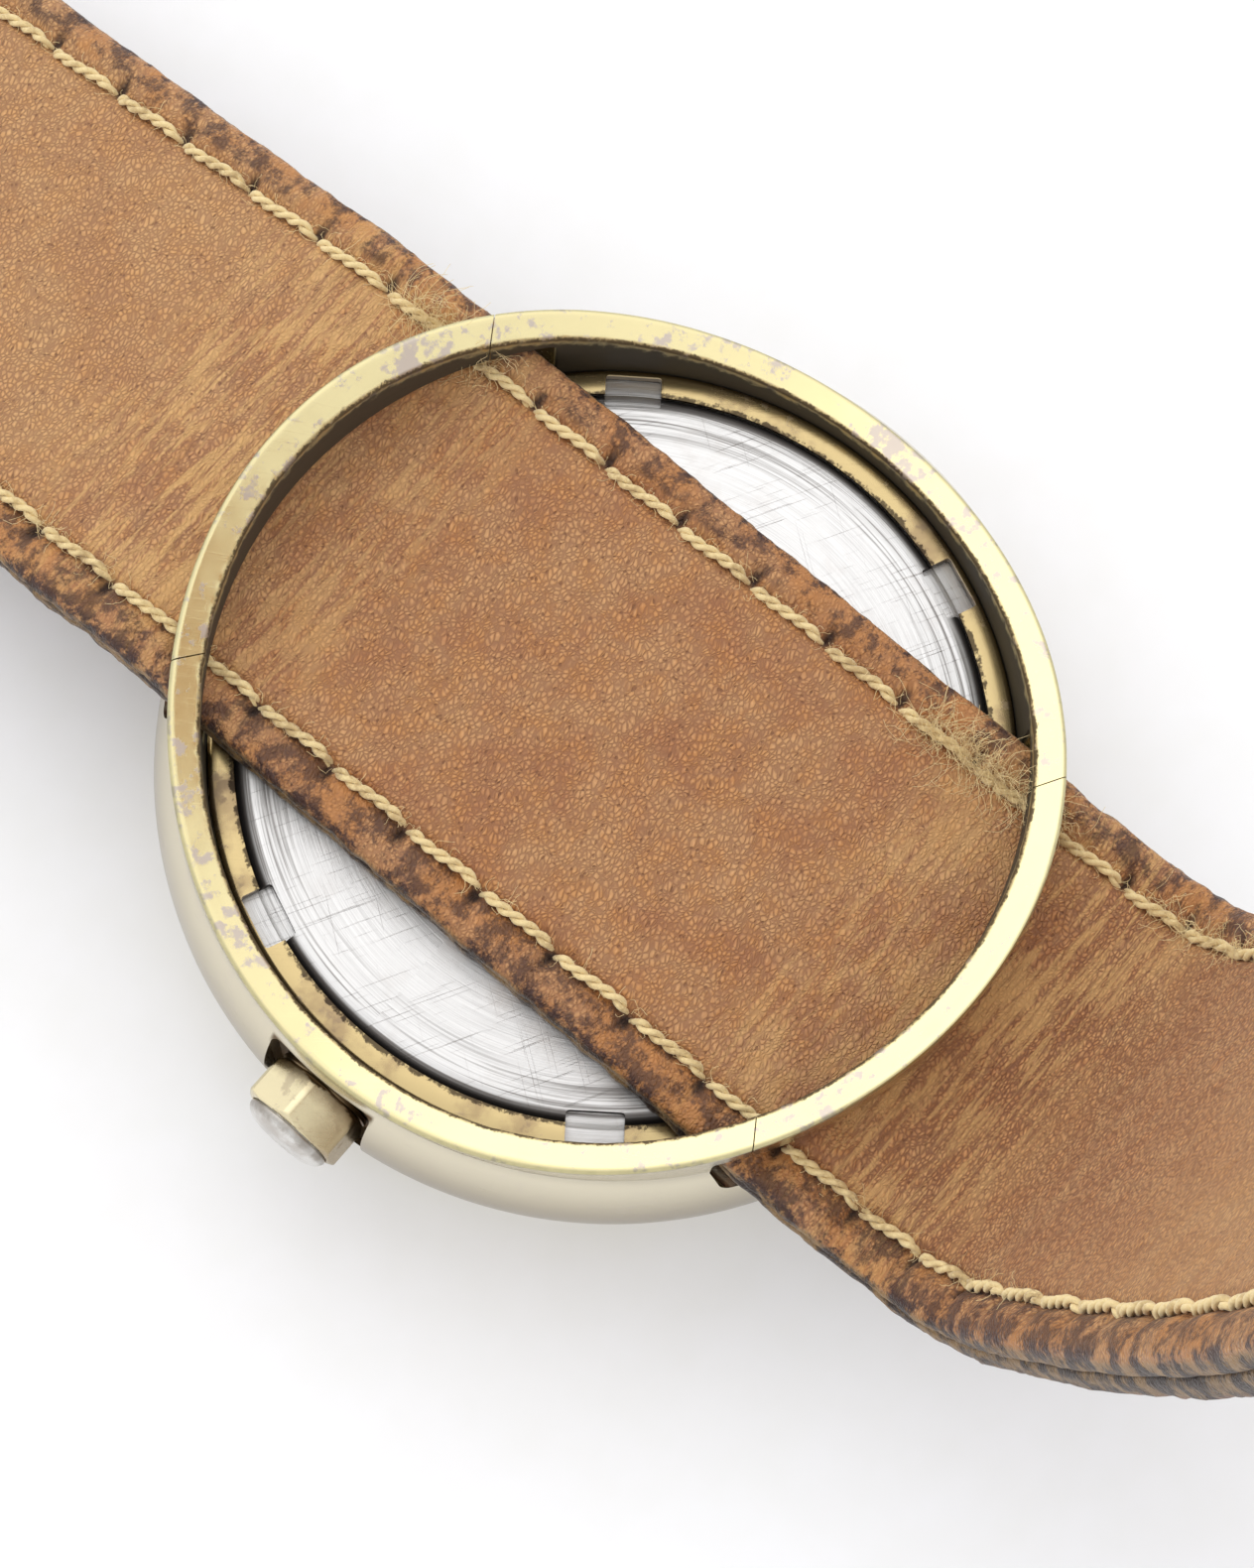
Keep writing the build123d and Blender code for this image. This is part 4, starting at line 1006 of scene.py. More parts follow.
def leatherFinish(name, tan, red, deep, worn, warm, streaked=1.0):
    hide = Finish(name, Roughness=0.6)
    hide.shader.inputs["Sheen Weight"].default_value = 0.08
    hide.shader.inputs["Sheen Roughness"].default_value = 0.4
    hide.shader.inputs["Specular IOR Level"].default_value = 0.35
    flat = hide.along()
    across, length, _ = hide.parts(flat)
    reach = across.size()
    edge = hide.mask("edge")
    pit = hide.mask("pit")
    # grain: rounded pebbles with creases between them, drawn out across the strap
    warp = hide.cloud(flat, 0.9, 2)
    grainAt = hide.node("ShaderNodeVectorMath", {"operation": "ADD"},
                        {0: hide.scaled(flat, 0.82, 1.15, 1.0),
                         1: hide.scaled(hide.joined(warp, warp), 0.6)})
    pebble = hide.cells(grainAt, 5.2, "SMOOTH_F1")
    crease = hide.cells(grainAt, 5.2, "DISTANCE_TO_EDGE").ramp(0.0, 0.26)
    smallPits = hide.cells(hide.moved(grainAt, 5.2, 1.3, 0.0), 3.1, "F1").ramp(0.24, 0.10)
    pore = hide.cloud(flat, 14.0, 2, 0.6)
    mottle = hide.cloud(flat, 0.28, 5, 0.62, 0.4)
    blotch = hide.cloud(hide.moved(flat, 40.0, 9.0, 0.0), 0.75, 5, 0.66)
    wrinkle = hide.cloud(hide.scaled(flat, 0.22, 3.2, 1.0), 1.0, 6, 0.62, 0.2)
    fineWrinkle = hide.cloud(hide.scaled(flat, 0.6, 6.5, 1.0), 1.0, 4, 0.6)
    # rubbed bands where the strap goes through the case and slides over its edges
    entry = (length.size() - 19.0).size().ramp(7.0, 1.5) + (length.size() - 12.0).size().ramp(3.0, 0.5) * 0.6
    streak = (hide.cloud(hide.scaled(hide.moved(flat, 3.0, 0.0, 0.0), 0.34, 2.6, 1.0), 1.0, 6, 0.72, 0.6)
              + hide.cloud(flat, 0.22, 3) * 0.5)
    rubbed = entry.least(1.0) * streak.ramp(0.70, 0.84) * streaked
    margin = reach.ramp(8.5, 9.5)
    soil = blotch + hide.cloud(flat, 2.6, 3) * 0.35 + hide.cloud(flat, 8.0, 3, 0.6) * 0.3
    beside = reach.ramp(8.05, 8.5)
    near = across.ramp(3.0, -3.0)
    grime = (beside * 0.8 + edge * 0.5).least(1.0) * (soil + near * 0.03).ramp(0.76, 0.94)
    tone = hide.blend(mottle.ramp(0.36, 0.66), tan, red)
    tone = hide.blend(wrinkle.ramp(0.35, 0.7) * 0.30, tone, tuple(c * 0.72 for c in tan))
    tone = hide.blend(blotch.ramp(0.44, 0.62) * 0.5, tone, warm)
    tone = hide.blend(length.size().ramp(17.0, 26.0) * 0.3, tone, worn)
    # the bent stretch beyond the bar is redder and its grain stands out
    bent = length.ramp(-15.0, -21.0) * length.ramp(-44.0, -30.0)
    tone = hide.blend(bent * blotch.ramp(0.36, 0.60) * 0.65, tone, red)
    # painted shade in the grain's creases and small pits, painted highlight on the pebbles' tops
    tone = hide.blend((1 - crease) * (0.56 + bent * 0.22), tone, deep)
    tone = hide.blend(smallPits * 0.55, tone, deep)
    pebbleHighlight = tuple(min(1, c * 1.4) for c in tan)
    tone = hide.blend(pebble.ramp(0.35, 0.05) * (0.38 + bent * 0.2), tone, pebbleHighlight)
    tone = hide.blend(rubbed * 0.70, tone, worn)
    # wrinkles near the case painted darker: grime and painted shade from the rim
    grimeAndShadeByCase = entry.least(1.0) * (fineWrinkle * 0.8 + wrinkle * 0.3).ramp(0.55, 0.68)
    tone = hide.blend(grimeAndShadeByCase * 0.42 * streaked, tone, deep)
    tone = hide.blend(margin * 0.25, tone, red)
    tone = hide.blend(beside * mottle.ramp(0.44, 0.60) * 0.5, tone, warm)
    tone = hide.blend(grime * 0.92, tone, (0.026, 0.011, 0.014))
    wallTone = hide.blend((blotch + near * 0.03).ramp(0.44, 0.60), (0.24, 0.15, 0.06), (0.030, 0.018, 0.012))
    tone = hide.blend(edge.ramp(0.45, 0.95) * 0.85, tone, wallTone)
    # painted shade in the stitch holes and along the stitch groove
    tone = hide.blend(pit.ramp(0.15, 0.9) * 0.92, tone, (0.018, 0.009, 0.008))
    rough = 0.5 + rubbed * 0.25 + pore * 0.12 - margin * 0.08
    height = crease * 0.45 - pebble * 0.35 - smallPits * 0.5
    height = height + wrinkle * 0.4 + fineWrinkle * 0.25 + pore * 0.12
    return hide.set(Base_Color=tone, Roughness=rough, Normal=hide.relief(height, 0.07, strength=0.9))


liningLeather = leatherFinish("tanStrapLeather", (0.53, 0.285, 0.125), (0.41, 0.175, 0.070),
                              (0.16, 0.06, 0.030), (0.64, 0.39, 0.160), (0.52, 0.225, 0.062))
outerLeather = leatherFinish("brownStrapLeather", (0.24, 0.115, 0.052), (0.16, 0.066, 0.036),
                             (0.07, 0.030, 0.018), (0.32, 0.185, 0.09), (0.22, 0.090, 0.036), 0.4)

lining = makeLayer("strapLining", strapSizes["thick"], strapSizes["seam"], 1)
finishPiece(lining, liningLeather, "case", "strap_leather", "strap_lining_leather")
outer = makeLayer("strapOuter", 0.0, strapSizes["seam"], 2)
finishPiece(outer, outerLeather, "case", "strap_back_leather", "strap_outer_leather")
print("strap leathers made")


# a strip swept along frames (point, outwards, sideways, length), with a rounded section
def sweepStrip(name, frames, width, thick, corner, closed, seed, rough=0.0, across=14):
    outline = roundedBox(width, thick, corner, 5)
    section = []
    for index, (a, b) in enumerate(outline):
        section.append((a, b))
        nextA = outline[(index + 1) % len(outline)][0]
        if abs(nextA - a) > width / 3:
            section += [(a + (nextA - a) * i / across, b) for i in range(1, across)]
    points, maps, edges, pits = [], [], [], []
    for point, out, side, length in frames:
        for a, b in section:
            rise = rough * noise.noise(Vector((a * 0.8, length * 0.8, seed + (b > 0))))
            rise += rough * 0.6 * noise.noise(Vector((a * 2.6, length * 2.6, seed + 3 + (b > 0))))
            wall = 1.0 if abs(a) > width / 2 - corner * 0.4 else 0.0
            swell = rise if wall == 0 else rise * 0.6
            points.append(Vector(point) + Vector(side) * (a + (copysign(swell, a) if wall else 0.0))
                          + Vector(out) * (b + (copysign(swell, b) if not wall else 0.0)))
            maps.append((a, length + seed * 11 + (6 if b < 0 else 0)))
            edges.append(wall)
            pits.append(0.0)
    count = len(section)
    faces = gridFaces(len(frames), count, loopRows=closed, loopColumns=True)
    if not closed:
        faces += [tuple(range(count)), tuple(range(len(points) - count, len(points)))]
    piece = makeMesh(name, points, faces, maps, {"edge": edges, "pit": pits}, sharp=50)
    facingOut(piece)
    shadeSmooth(piece.data, 50)
    return piece


def loopFrames(width, height, corner, middle, step=0.3):
    # frames round a rounded box standing across the strap
    outline = roundedBox(width, height, corner, 6)
    frames, length = [], 0.0
    count = len(outline)
    for index in range(count):
        here, after = Vector(outline[index]), Vector(outline[(index + 1) % count])
        pieces = max(1, round((after - here).length / step)) if (after - here).length > 0.5 else 1
        for piece in range(pieces):
            at = here + (after - here) * piece / pieces
            core = Vector((max(-width / 2 + corner, min(width / 2 - corner, at.x)),
                           max(-height / 2 + corner, min(height / 2 - corner, at.y))))
            out = (at - core).normalized()
            frames.append(((at.x, middle[1], at.y + middle[2]), (out.x, 0, out.y), (0, 1, 0), length))
            length += (after - here).length / pieces
    return frames


# what holds the strap: keepers, the fold round the spring bar, the buckle and its tang
claspSizes = {
    "keeperWidth": 4.5, "keeperBox": (21.75, 5.85, 0.75), "keeperThick": 0.95, "keeperUp": 2.1,
    "fixedAt": -11.5, "floatingAt": -24.0,
    "foldOuter": 1.55, "foldBore": 0.86, "foldFrom": 1.5, "foldTo": 10.0, "foldNeck": 1.65,
    "tilt": 9.5, "reach": 9.2, "frameThick": 1.9, "arm": 2.0, "armAt": 11.4, "frameCorner": 1.6,
    "tangWidth": 1.8, "tangEye": 1.4, "tangBore": 0.82, "barTip": 0.5,
}
barY, barZ = path[-1][1] + 1.6, path[-1][2] + 1.1


def makeKeepers():
    size = claspSizes
    width, height, corner = size["keeperBox"]
    keepers = (("fixedKeeper", "fixed_keeper", size["fixedAt"], "case", 1),
               ("floatingKeeper", "floating_keeper", size["floatingAt"], "keeper", 2))
    for name, node, start, body, seed in keepers:
        middle = (0, barY + start + size["keeperWidth"] / 2, barZ - 1.1 + size["keeperUp"])
        frames = loopFrames(width, height, corner, middle)
        loop = sweepStrip(name, frames, size["keeperWidth"], size["keeperThick"], 0.28, True, seed, 0.05)
        finishPiece(loop, outerLeather, body, "strap_back_leather", node)


def makeFold():
    size = claspSizes
    thick = size["foldOuter"] - size["foldBore"]
    mid = size["foldBore"] + thick / 2
    neck = 1.05 - thick / 2
    width = size["foldTo"] - size["foldFrom"]
    folds = []
    for side in (-1, 1):
        centre = side * (size["foldFrom"] + width / 2)
        rows = [(-size["foldNeck"], -neck), (-1.3, -neck - 0.03), (-0.95, -neck - 0.12)]
        rows += [(mid * cos(radians(t)), mid * sin(radians(t))) for t in range(-122, 123, 8)]
        rows += [(-0.95, neck + 0.12), (-1.3, neck + 0.03), (-size["foldNeck"], neck)]
        frames, length = [], 0.0
        for index, (y, z) in enumerate(rows):
            before, after = rows[max(0, index - 1)], rows[min(len(rows) - 1, index + 1)]
            along = Vector((after[0] - before[0], after[1] - before[1])).normalized()
            frames.append(((centre, barY + y, barZ + z), (0, along.y, -along.x), (1, 0, 0), length))
            length += hypot(y - before[0], z - before[1])
        fold = sweepStrip("fold", frames, width, thick, 0.2, False, 5 + side, 0.03, 26)
        folds.append(fold)
    return folds


def makeBuckle():
    size = claspSizes
    tilt = radians(size["tilt"])
    forward, up = Vector((0, cos(tilt), -sin(tilt))), Vector((0, sin(tilt), cos(tilt)))
    centre = Vector((0, barY, barZ))
    top = size["reach"]
    corner = size["frameCorner"]
    line = [(size["armAt"], -1.1 + i * (top - corner + 1.1) / 20) for i in range(20)]
    line += [(size["armAt"] - corner * (1 - cos(radians(t))), top - corner * (1 - sin(radians(t))))
             for t in range(0, 91, 9)]
    line += [((size["armAt"] - corner) * (1 - i / 12), top) for i in range(1, 13)]
    line += [(-x, y) for x, y in line[-2::-1]]
    frames, length = [], 0.0
    for index, (x, y) in enumerate(line):
        before, after = line[max(0, index - 1)], line[min(len(line) - 1, index + 1)]
        along = Vector((after[0] - before[0], after[1] - before[1])).normalized()
        aside = Vector((along.y, -along.x))
        side = Vector((aside.x, 0, 0)) + forward * aside.y
        frames.append((centre + Vector((x, 0, 0)) + forward * y, up, side, length))
        length += hypot(x - before[0], y - before[1])
    buckle = sweepStrip("buckleFrame", frames, size["arm"], size["frameThick"], 0.62, False, 3, 0.0, 6)
    flat = Matrix(((0, 0, 1), (1, 0, 0), (0, 1, 0)))
    tipBore = prism("tipBore", circle(size["barTip"], 40), -14, 14, flat)
    tipBore.data.transform(Matrix.Translation(centre * mm))
    cutWith(buckle, [tipBore], sharp=40, soften=0.14)
    removeAll(tipBore)
    finishPiece(buckle, goldBuckle, "buckle", "buckle_gold", "buckle_frame")

    arm = [(0, 1.4), (4.5, 1.08), (size["reach"] - 0.5, 0.62), (size["reach"] + 1.2, -0.1),
           (size["reach"] + 1.0, -0.45), (size["reach"] - 1.6, -0.15), (4.5, 0.06)]
    arm = rounded(arm, 0.5, 4, False)
    eye = [(size["tangEye"] * cos(radians(t)), size["tangEye"] * sin(radians(t)))
           for t in range(6, -270, -6)]
    half = size["tangWidth"] / 2
    tang = prism("buckleTang", arm + eye, -half, half, flat)
    bore = prism("eyeBore", circle(size["tangBore"], 48), -2, 2, flat)
    for part in (tang, bore):
        part.data.transform(Matrix.Translation(centre * mm))
    cutWith(tang, [bore], sharp=40, soften=0.16)
    removeAll(bore)
    finishPiece(tang, goldBuckle, "tang", "buckle_gold", "buckle_tang")


makeKeepers()
for side, fold in zip(("Left", "Right"), makeFold()):
    fold.name = "strapFold" + side
    finishPiece(fold, outerLeather, "case", "strap_back_leather")
makeBuckle()
print("keepers and buckle made")


# stitches by geometry nodes: two plies twisted together, sunk at every hole
class Tree:
    # builds a geometry tree: inputs by name, nodes by one method
    def __init__(self, name, inputs):
        self.group = bpy.data.node_groups.new(name, "GeometryNodeTree")
        self.group.interface.new_socket("Geometry", in_out="INPUT", socket_type="NodeSocketGeometry")
        for label, (kind, value) in inputs.items():
            socket = self.group.interface.new_socket(label, in_out="INPUT", socket_type="NodeSocket" + kind)
            if value is not None:
                socket.default_value = value
        self.group.interface.new_socket("Geometry", in_out="OUTPUT", socket_type="NodeSocketGeometry")
        self.start = self.group.nodes.new("NodeGroupInput")
        self.end = self.group.nodes.new("NodeGroupOutput")

    def given(self, label):
        return self.start.outputs[label]

    def node(self, kind, settings=None, sockets=None, out=0):
        made = self.group.nodes.new(kind)
        for key, setting in (settings or {}).items():
            setattr(made, key, setting)
        for key, value in (sockets or {}).items():
            if isinstance(value, bpy.types.NodeSocket):
                self.group.links.new(value, made.inputs[key])
            else:
                made.inputs[key].default_value = value
        return made.outputs[out]

    def maths(self, kind, a, b=0.0):
        return self.node("ShaderNodeMath", {"operation": kind}, {0: a, 1: b})

    def vector(self, kind, a, b=(0, 0, 0)):
        return self.node("ShaderNodeVectorMath", {"operation": kind}, {0: a, 1: b})

    def scale(self, a, by):
        return self.node("ShaderNodeVectorMath", {"operation": "SCALE"}, {0: a, "Scale": by})

    def join(self, *shapes):
        made = self.group.nodes.new("GeometryNodeJoinGeometry")
        for shape in shapes:
            self.group.links.new(shape, made.inputs[0])
        return made.outputs[0]

    def finish(self, shape, material):
        real = self.node("GeometryNodeRealizeInstances", {}, {0: shape})
        painted = self.node("GeometryNodeSetMaterial", {}, {"Geometry": real, "Material": material})
        self.group.links.new(painted, self.end.inputs[0])

    def run(self, guide, values):
        # the modifier's inputs are set by their identifiers, then the result becomes a plain mesh
        modifier = guide.modifiers.new("grown", "NODES")
        modifier.node_group = self.group
        for item in self.group.interface.items_tree:
            if item.item_type == "SOCKET" and item.in_out == "INPUT" and item.name in values:
                modifier[item.identifier] = values[item.name]
        graph = bpy.context.evaluated_depsgraph_get()
        mesh = bpy.data.meshes.new_from_object(guide.evaluated_get(graph))
        modifier.id_data.modifiers.remove(modifier)
        return mesh


def guideCurve(name, lines, marks=None):
    # poly splines through points given in millimetres; marks are carried as the points' radius
    data = bpy.data.curves.new(name, "CURVE")
    data.dimensions = "3D"
    for line in lines:
        spline = data.splines.new("POLY")
        spline.points.add(len(line) - 1)
        for index, (point, place) in enumerate(zip(spline.points, line)):
            point.co = (*(Vector(place) * mm), 1)
            point.radius = marks[index] * mm if marks else 1.0
    guide = bpy.data.objects.new(name, data)
    scene.collection.objects.link(guide)
    return guide


def threadTree():
    tree = Tree("twistedThread", {
        "Pitch": ("Float", 3.7 * mm), "Ply Radius": ("Float", 0.14 * mm), "Lay": ("Float", 1.35 * mm),
        "Rise": ("Float", 0.1 * mm), "Dip": ("Float", 0.8 * mm), "Step": ("Float", 0.11 * mm),
        "Side": ("Float", 1.0), "Wander": ("Float", 0.05 * mm), "Sides": ("Int", 7),
        "Seed": ("Float", 0.0), "Thread": ("Material", None)})
    line = tree.node("GeometryNodeResampleCurve", {"mode": "LENGTH"},
                     {"Curve": tree.given("Geometry"), "Length": tree.given("Step")})
    length = tree.node("GeometryNodeSplineParameter", out="Length")
    tangent = tree.node("GeometryNodeInputTangent")
    place = tree.node("GeometryNodeInputPosition")
    up = tree.vector("CROSS_PRODUCT", (1, 0, 0), tangent)
    up = tree.scale(up, tree.given("Side"))
    # the guide's radius counts along the strap, so the stitches keep to its holes
    along = tree.node("GeometryNodeInputRadius")
    turn = tree.maths("DIVIDE", along, tree.given("Pitch"))
    swing = tree.maths("ABSOLUTE", tree.maths("COSINE", tree.maths("MULTIPLY", turn, pi)))
    hole = tree.maths("POWER", swing, 26.0)
    lift = tree.maths("SUBTRACT", tree.given("Rise"), tree.maths("MULTIPLY", hole, tree.given("Dip")))
    seedAt = tree.node("ShaderNodeCombineXYZ", {}, {0: tree.given("Seed"), 1: tree.given("Seed")})
    wobbleAt = tree.vector("ADD", tree.scale(place, 520.0), seedAt)
    wobble = tree.node("ShaderNodeTexNoise", {}, {"Vector": wobbleAt, "Scale": 1.0, "Detail": 2.0}, "Color")
    wobble = tree.scale(tree.vector("SUBTRACT", wobble, (0.5, 0.5, 0.5)),
                        tree.maths("MULTIPLY", tree.given("Wander"), 3.0))
    slant = tree.maths("MULTIPLY", tree.maths("SINE", tree.maths("MULTIPLY", turn, tau)), 0.07 * mm)
    middle = tree.vector("ADD", tree.scale(up, lift), wobble)
    middle = tree.vector("ADD", middle, tree.node("ShaderNodeCombineXYZ", {}, {0: slant}))
    thickness = tree.node("ShaderNodeTexNoise", {}, {"Vector": tree.scale(place, 2100.0), "Scale": 1.0}, 0)
    thickness = tree.node("ShaderNodeMapRange", {}, {"Value": thickness, "To Min": 0.82, "To Max": 1.2})
    plies = []
    profile = tree.node("GeometryNodeCurvePrimitiveCircle", {"mode": "RADIUS"},
                        {"Resolution": tree.given("Sides"), "Radius": tree.given("Ply Radius")})
    for ply in range(2):
        twist = tree.maths("MULTIPLY", tree.maths("DIVIDE", length, tree.given("Lay")), tau)
        angle = tree.maths("ADD", twist, ply * pi)
        besideX = tree.maths("MULTIPLY", tree.maths("COSINE", angle), tree.given("Ply Radius"))
        besideUp = tree.maths("MULTIPLY", tree.maths("SINE", angle), tree.given("Ply Radius"))
        offset = tree.vector("ADD", tree.node("ShaderNodeCombineXYZ", {}, {0: besideX}),
                             tree.scale(up, besideUp))
        moved = tree.node("GeometryNodeSetPosition", {},
                          {"Geometry": line, "Offset": tree.vector("ADD", middle, offset)})
        sized = tree.node("GeometryNodeSetCurveRadius", {}, {"Curve": moved, "Radius": thickness})
        plies.append(tree.node("GeometryNodeCurveToMesh", {},
                               {"Curve": sized, "Profile Curve": profile, "Fill Caps": True}))
    tree.finish(tree.join(*plies), tree.given("Thread"))
    return tree


def fuzzTree():
    # loose fibres: bent hairs on random points of a guide line, each turned its own way
    tree = Tree("looseFibres", {
        "Count": ("Int", 200), "Hair": ("Float", 1.0 * mm), "Hair Radius": ("Float", 0.009 * mm),
        "Spread": ("Float", 0.3 * mm), "Seed": ("Int", 1), "Thread": ("Material", None)})
    line = tree.node("GeometryNodeResampleCurve", {"mode": "COUNT"},
                     {"Curve": tree.given("Geometry"), "Count": tree.given("Count")})
    points = tree.node("GeometryNodeCurveToPoints", {"mode": "EVALUATED"}, {"Curve": line})
    jitter = tree.node("FunctionNodeRandomValue", {"data_type": "FLOAT_VECTOR"},
                       {0: (-1, -1, -1), 1: (1, 1, 1), "Seed": tree.given("Seed")})
    points = tree.node("GeometryNodeSetPosition", {},
                       {"Geometry": points, "Offset": tree.scale(jitter, tree.given("Spread"))})
    hair = tree.node("GeometryNodeCurveQuadraticBezier", {},
                     {"Resolution": 7, "Start": (0, 0, 0), "Middle": (0.1, 0.35, 0.75),
                      "End": (0.75, 0.3, 0.62)})
    turned = tree.node("FunctionNodeRandomValue", {"data_type": "FLOAT_VECTOR"},
                       {0: (-1.1, -1.1, 0), 1: (1.1, 1.1, tau), "Seed": tree.given("Seed")})
    grown = tree.node("FunctionNodeRandomValue", {"data_type": "FLOAT"},
                      {2: 0.3, 3: 1.3, "Seed": tree.given("Seed")}, 1)
    even = tree.node("ShaderNodeCombineXYZ", {}, {0: grown, 1: grown, 2: grown})
    scale = tree.scale(even, tree.given("Hair"))
    hairs = tree.node("GeometryNodeInstanceOnPoints", {},
                      {"Points": points, "Instance": hair, "Rotation": turned, "Scale": scale})
    real = tree.node("GeometryNodeRealizeInstances", {}, {0: hairs})
    place = tree.node("GeometryNodeInputPosition")
    curl = tree.node("ShaderNodeTexNoise", {}, {"Vector": tree.scale(place, 1700.0), "Scale": 1.0}, "Color")
    curl = tree.scale(tree.vector("SUBTRACT", curl, (0.5, 0.5, 0.5)), 0.45 * mm)
    bent = tree.node("GeometryNodeSetPosition", {}, {"Geometry": real, "Offset": curl})
    profile = tree.node("GeometryNodeCurvePrimitiveCircle", {"mode": "RADIUS"},
                        {"Resolution": 3, "Radius": tree.given("Hair Radius")})
    tubes = tree.node("GeometryNodeCurveToMesh", {}, {"Curve": bent, "Profile Curve": profile,
                                                       "Fill Caps": True})
    tree.finish(tubes, tree.given("Thread"))
    return tree


def threadFinish():
    cotton = Finish("creamThread", Roughness=0.85)
    cotton.shader.inputs["Sheen Weight"].default_value = 0.3
    at = cotton.place()
    fibre = cotton.cloud(cotton.scaled(at, 1.0, 0.4, 1.0), 16.0, 3, 0.6)
    soil = cotton.cloud(at, 0.5, 4, 0.6)
    fine = cotton.cloud(at, 3.0, 3, 0.6)
    tone = cotton.blend(fibre, (0.66, 0.49, 0.21), (0.92, 0.76, 0.43))
    tone = cotton.blend((soil * 0.7 + fine * 0.4).ramp(0.54, 0.70) * 0.6, tone, (0.36, 0.22, 0.085))
    return cotton.set(Base_Color=tone, Normal=cotton.relief(fibre, 0.03, strength=0.8))


stitchSizes = {
    "line": strapSizes["stitchLine"], "pitch": strapSizes["pitch"], "plyRadius": 0.125, "lay": 1.25,
    "rise": 0.02, "dip": 0.75, "fromTail": 9.2, "fromBar": 2.5,
    # frayed places: (u, from s, to s, hairs, hair length, spread)
    "frayed": [(8.0, -15.2, -8.4, 520, 1.6, 0.45), (8.0, 13.4, 17.4, 260, 1.7, 0.40),
               (8.0, -28.5, -19.5, 160, 1.1, 0.30), (-8.0, 20.0, 31.0, 120, 0.8, 0.2)],
    "loose": 420,
}


def makeStitches():
    size = stitchSizes
    cotton = threadFinish()
    tree = threadTree()
    first = ceil((tailS + size["fromTail"]) / size["pitch"]) * size["pitch"]
    last = int((buckleS - size["fromBar"]) / size["pitch"]) * size["pitch"]
    count = round((last - first) / 0.25)
    for name, height, side, step, sides in (("liningStitches", strapSizes["thick"], 1.0, 0.11, 7),
                                            ("outerStitches", 0.0, -1.0, 0.16, 6)):
        lines = []
        for u in (-size["line"], size["line"]):
            lines.append([strapPoint(u, height, first + (last - first) * i / count)
                          for i in range(count + 1)])
        marks = [(last - first) * i / count for i in range(count + 1)]
        guide = guideCurve("guide" + name, lines, marks)
        mesh = tree.run(guide, {"Pitch": size["pitch"] * mm, "Ply Radius": size["plyRadius"] * mm,
                                "Lay": size["lay"] * mm, "Rise": size["rise"] * mm,
                                "Dip": size["dip"] * mm, "Step": step * mm, "Side": side, "Sides": sides,
                                "Seed": 3.0 + side, "Thread": cotton})
        thread = bpy.data.objects.new(name, mesh)
        scene.collection.objects.link(thread)
        shadeSmooth(mesh, 60)
        nodes = ("strap_stitching",) if side > 0 else ()
        finishPiece(thread, cotton, "case", "thread", *nodes)
        removeAll(guide)
    fuzz = fuzzTree()
    shapes = bmesh.new()
    jobs = list(size["frayed"])
    jobs += [(u, -33, 44, size["loose"], 0.75, 0.16) for u in (-size["line"], size["line"])]
    for seed, (u, a, b, hairs, hair, spread) in enumerate(jobs):
        steps = max(2, round((b - a) / 0.5))
        guide = guideCurve("fuzzGuide", [[strapPoint(u, strapSizes["thick"] + 0.05, a + (b - a) * i / steps)
                                          for i in range(steps + 1)]])
        mesh = fuzz.run(guide, {"Count": hairs, "Hair": hair * mm, "Hair Radius": 0.009 * mm,
                                "Spread": spread * mm, "Seed": seed + 5, "Thread": cotton})
        shapes.from_mesh(mesh)
        removeAll(guide)
    mesh = bpy.data.meshes.new("threadFuzz")
    shapes.to_mesh(mesh)
    shapes.free()
    shadeSmooth(mesh, 60)
    loose = bpy.data.objects.new("threadFuzz", mesh)
    scene.collection.objects.link(loose)
    finishPiece(loose, cotton, "case", "thread")


makeStitches()
print("stitches made")


# printing on the dial: bars instanced round a ring, under the hands
dialPrint = {
    # ring: (centre, radius, count, bar length, bar width)
    "minutes": ((0, 0), 12.45, 60, 0.34, 0.10),
    "seconds": ((0, -6.6), 3.15, 60, 0.30, 0.05), "tens": ((0, -6.6), 3.02, 6, 0.55, 0.11),
    "at": 3.44, "thick": 0.02, "ink": (0.035, 0.028, 0.024),
}


def markTree():
    tree = Tree("ringOfMarks", {
        "Count": ("Int", 60), "Radius": ("Float", 13 * mm), "Length": ("Float", 0.6 * mm),
        "Width": ("Float", 0.1 * mm), "Thick": ("Float", 0.02 * mm), "Ink": ("Material", None)})
    ring = tree.node("GeometryNodeMeshCircle", {}, {"Vertices": tree.given("Count"),
                                                    "Radius": tree.given("Radius")})
    size = tree.node("ShaderNodeCombineXYZ", {}, {0: tree.given("Length"), 1: tree.given("Width"),
                                                  2: tree.given("Thick")})
    mark = tree.node("GeometryNodeMeshCube", {}, {"Size": size})
    number = tree.node("GeometryNodeInputIndex")
    angle = tree.maths("MULTIPLY", tree.maths("DIVIDE", number, tree.given("Count")), tau)
    turned = tree.node("ShaderNodeCombineXYZ", {}, {2: angle})
    marks = tree.node("GeometryNodeInstanceOnPoints", {}, {"Points": ring, "Instance": mark,
                                                            "Rotation": turned})
    tree.finish(marks, tree.given("Ink"))
    return tree


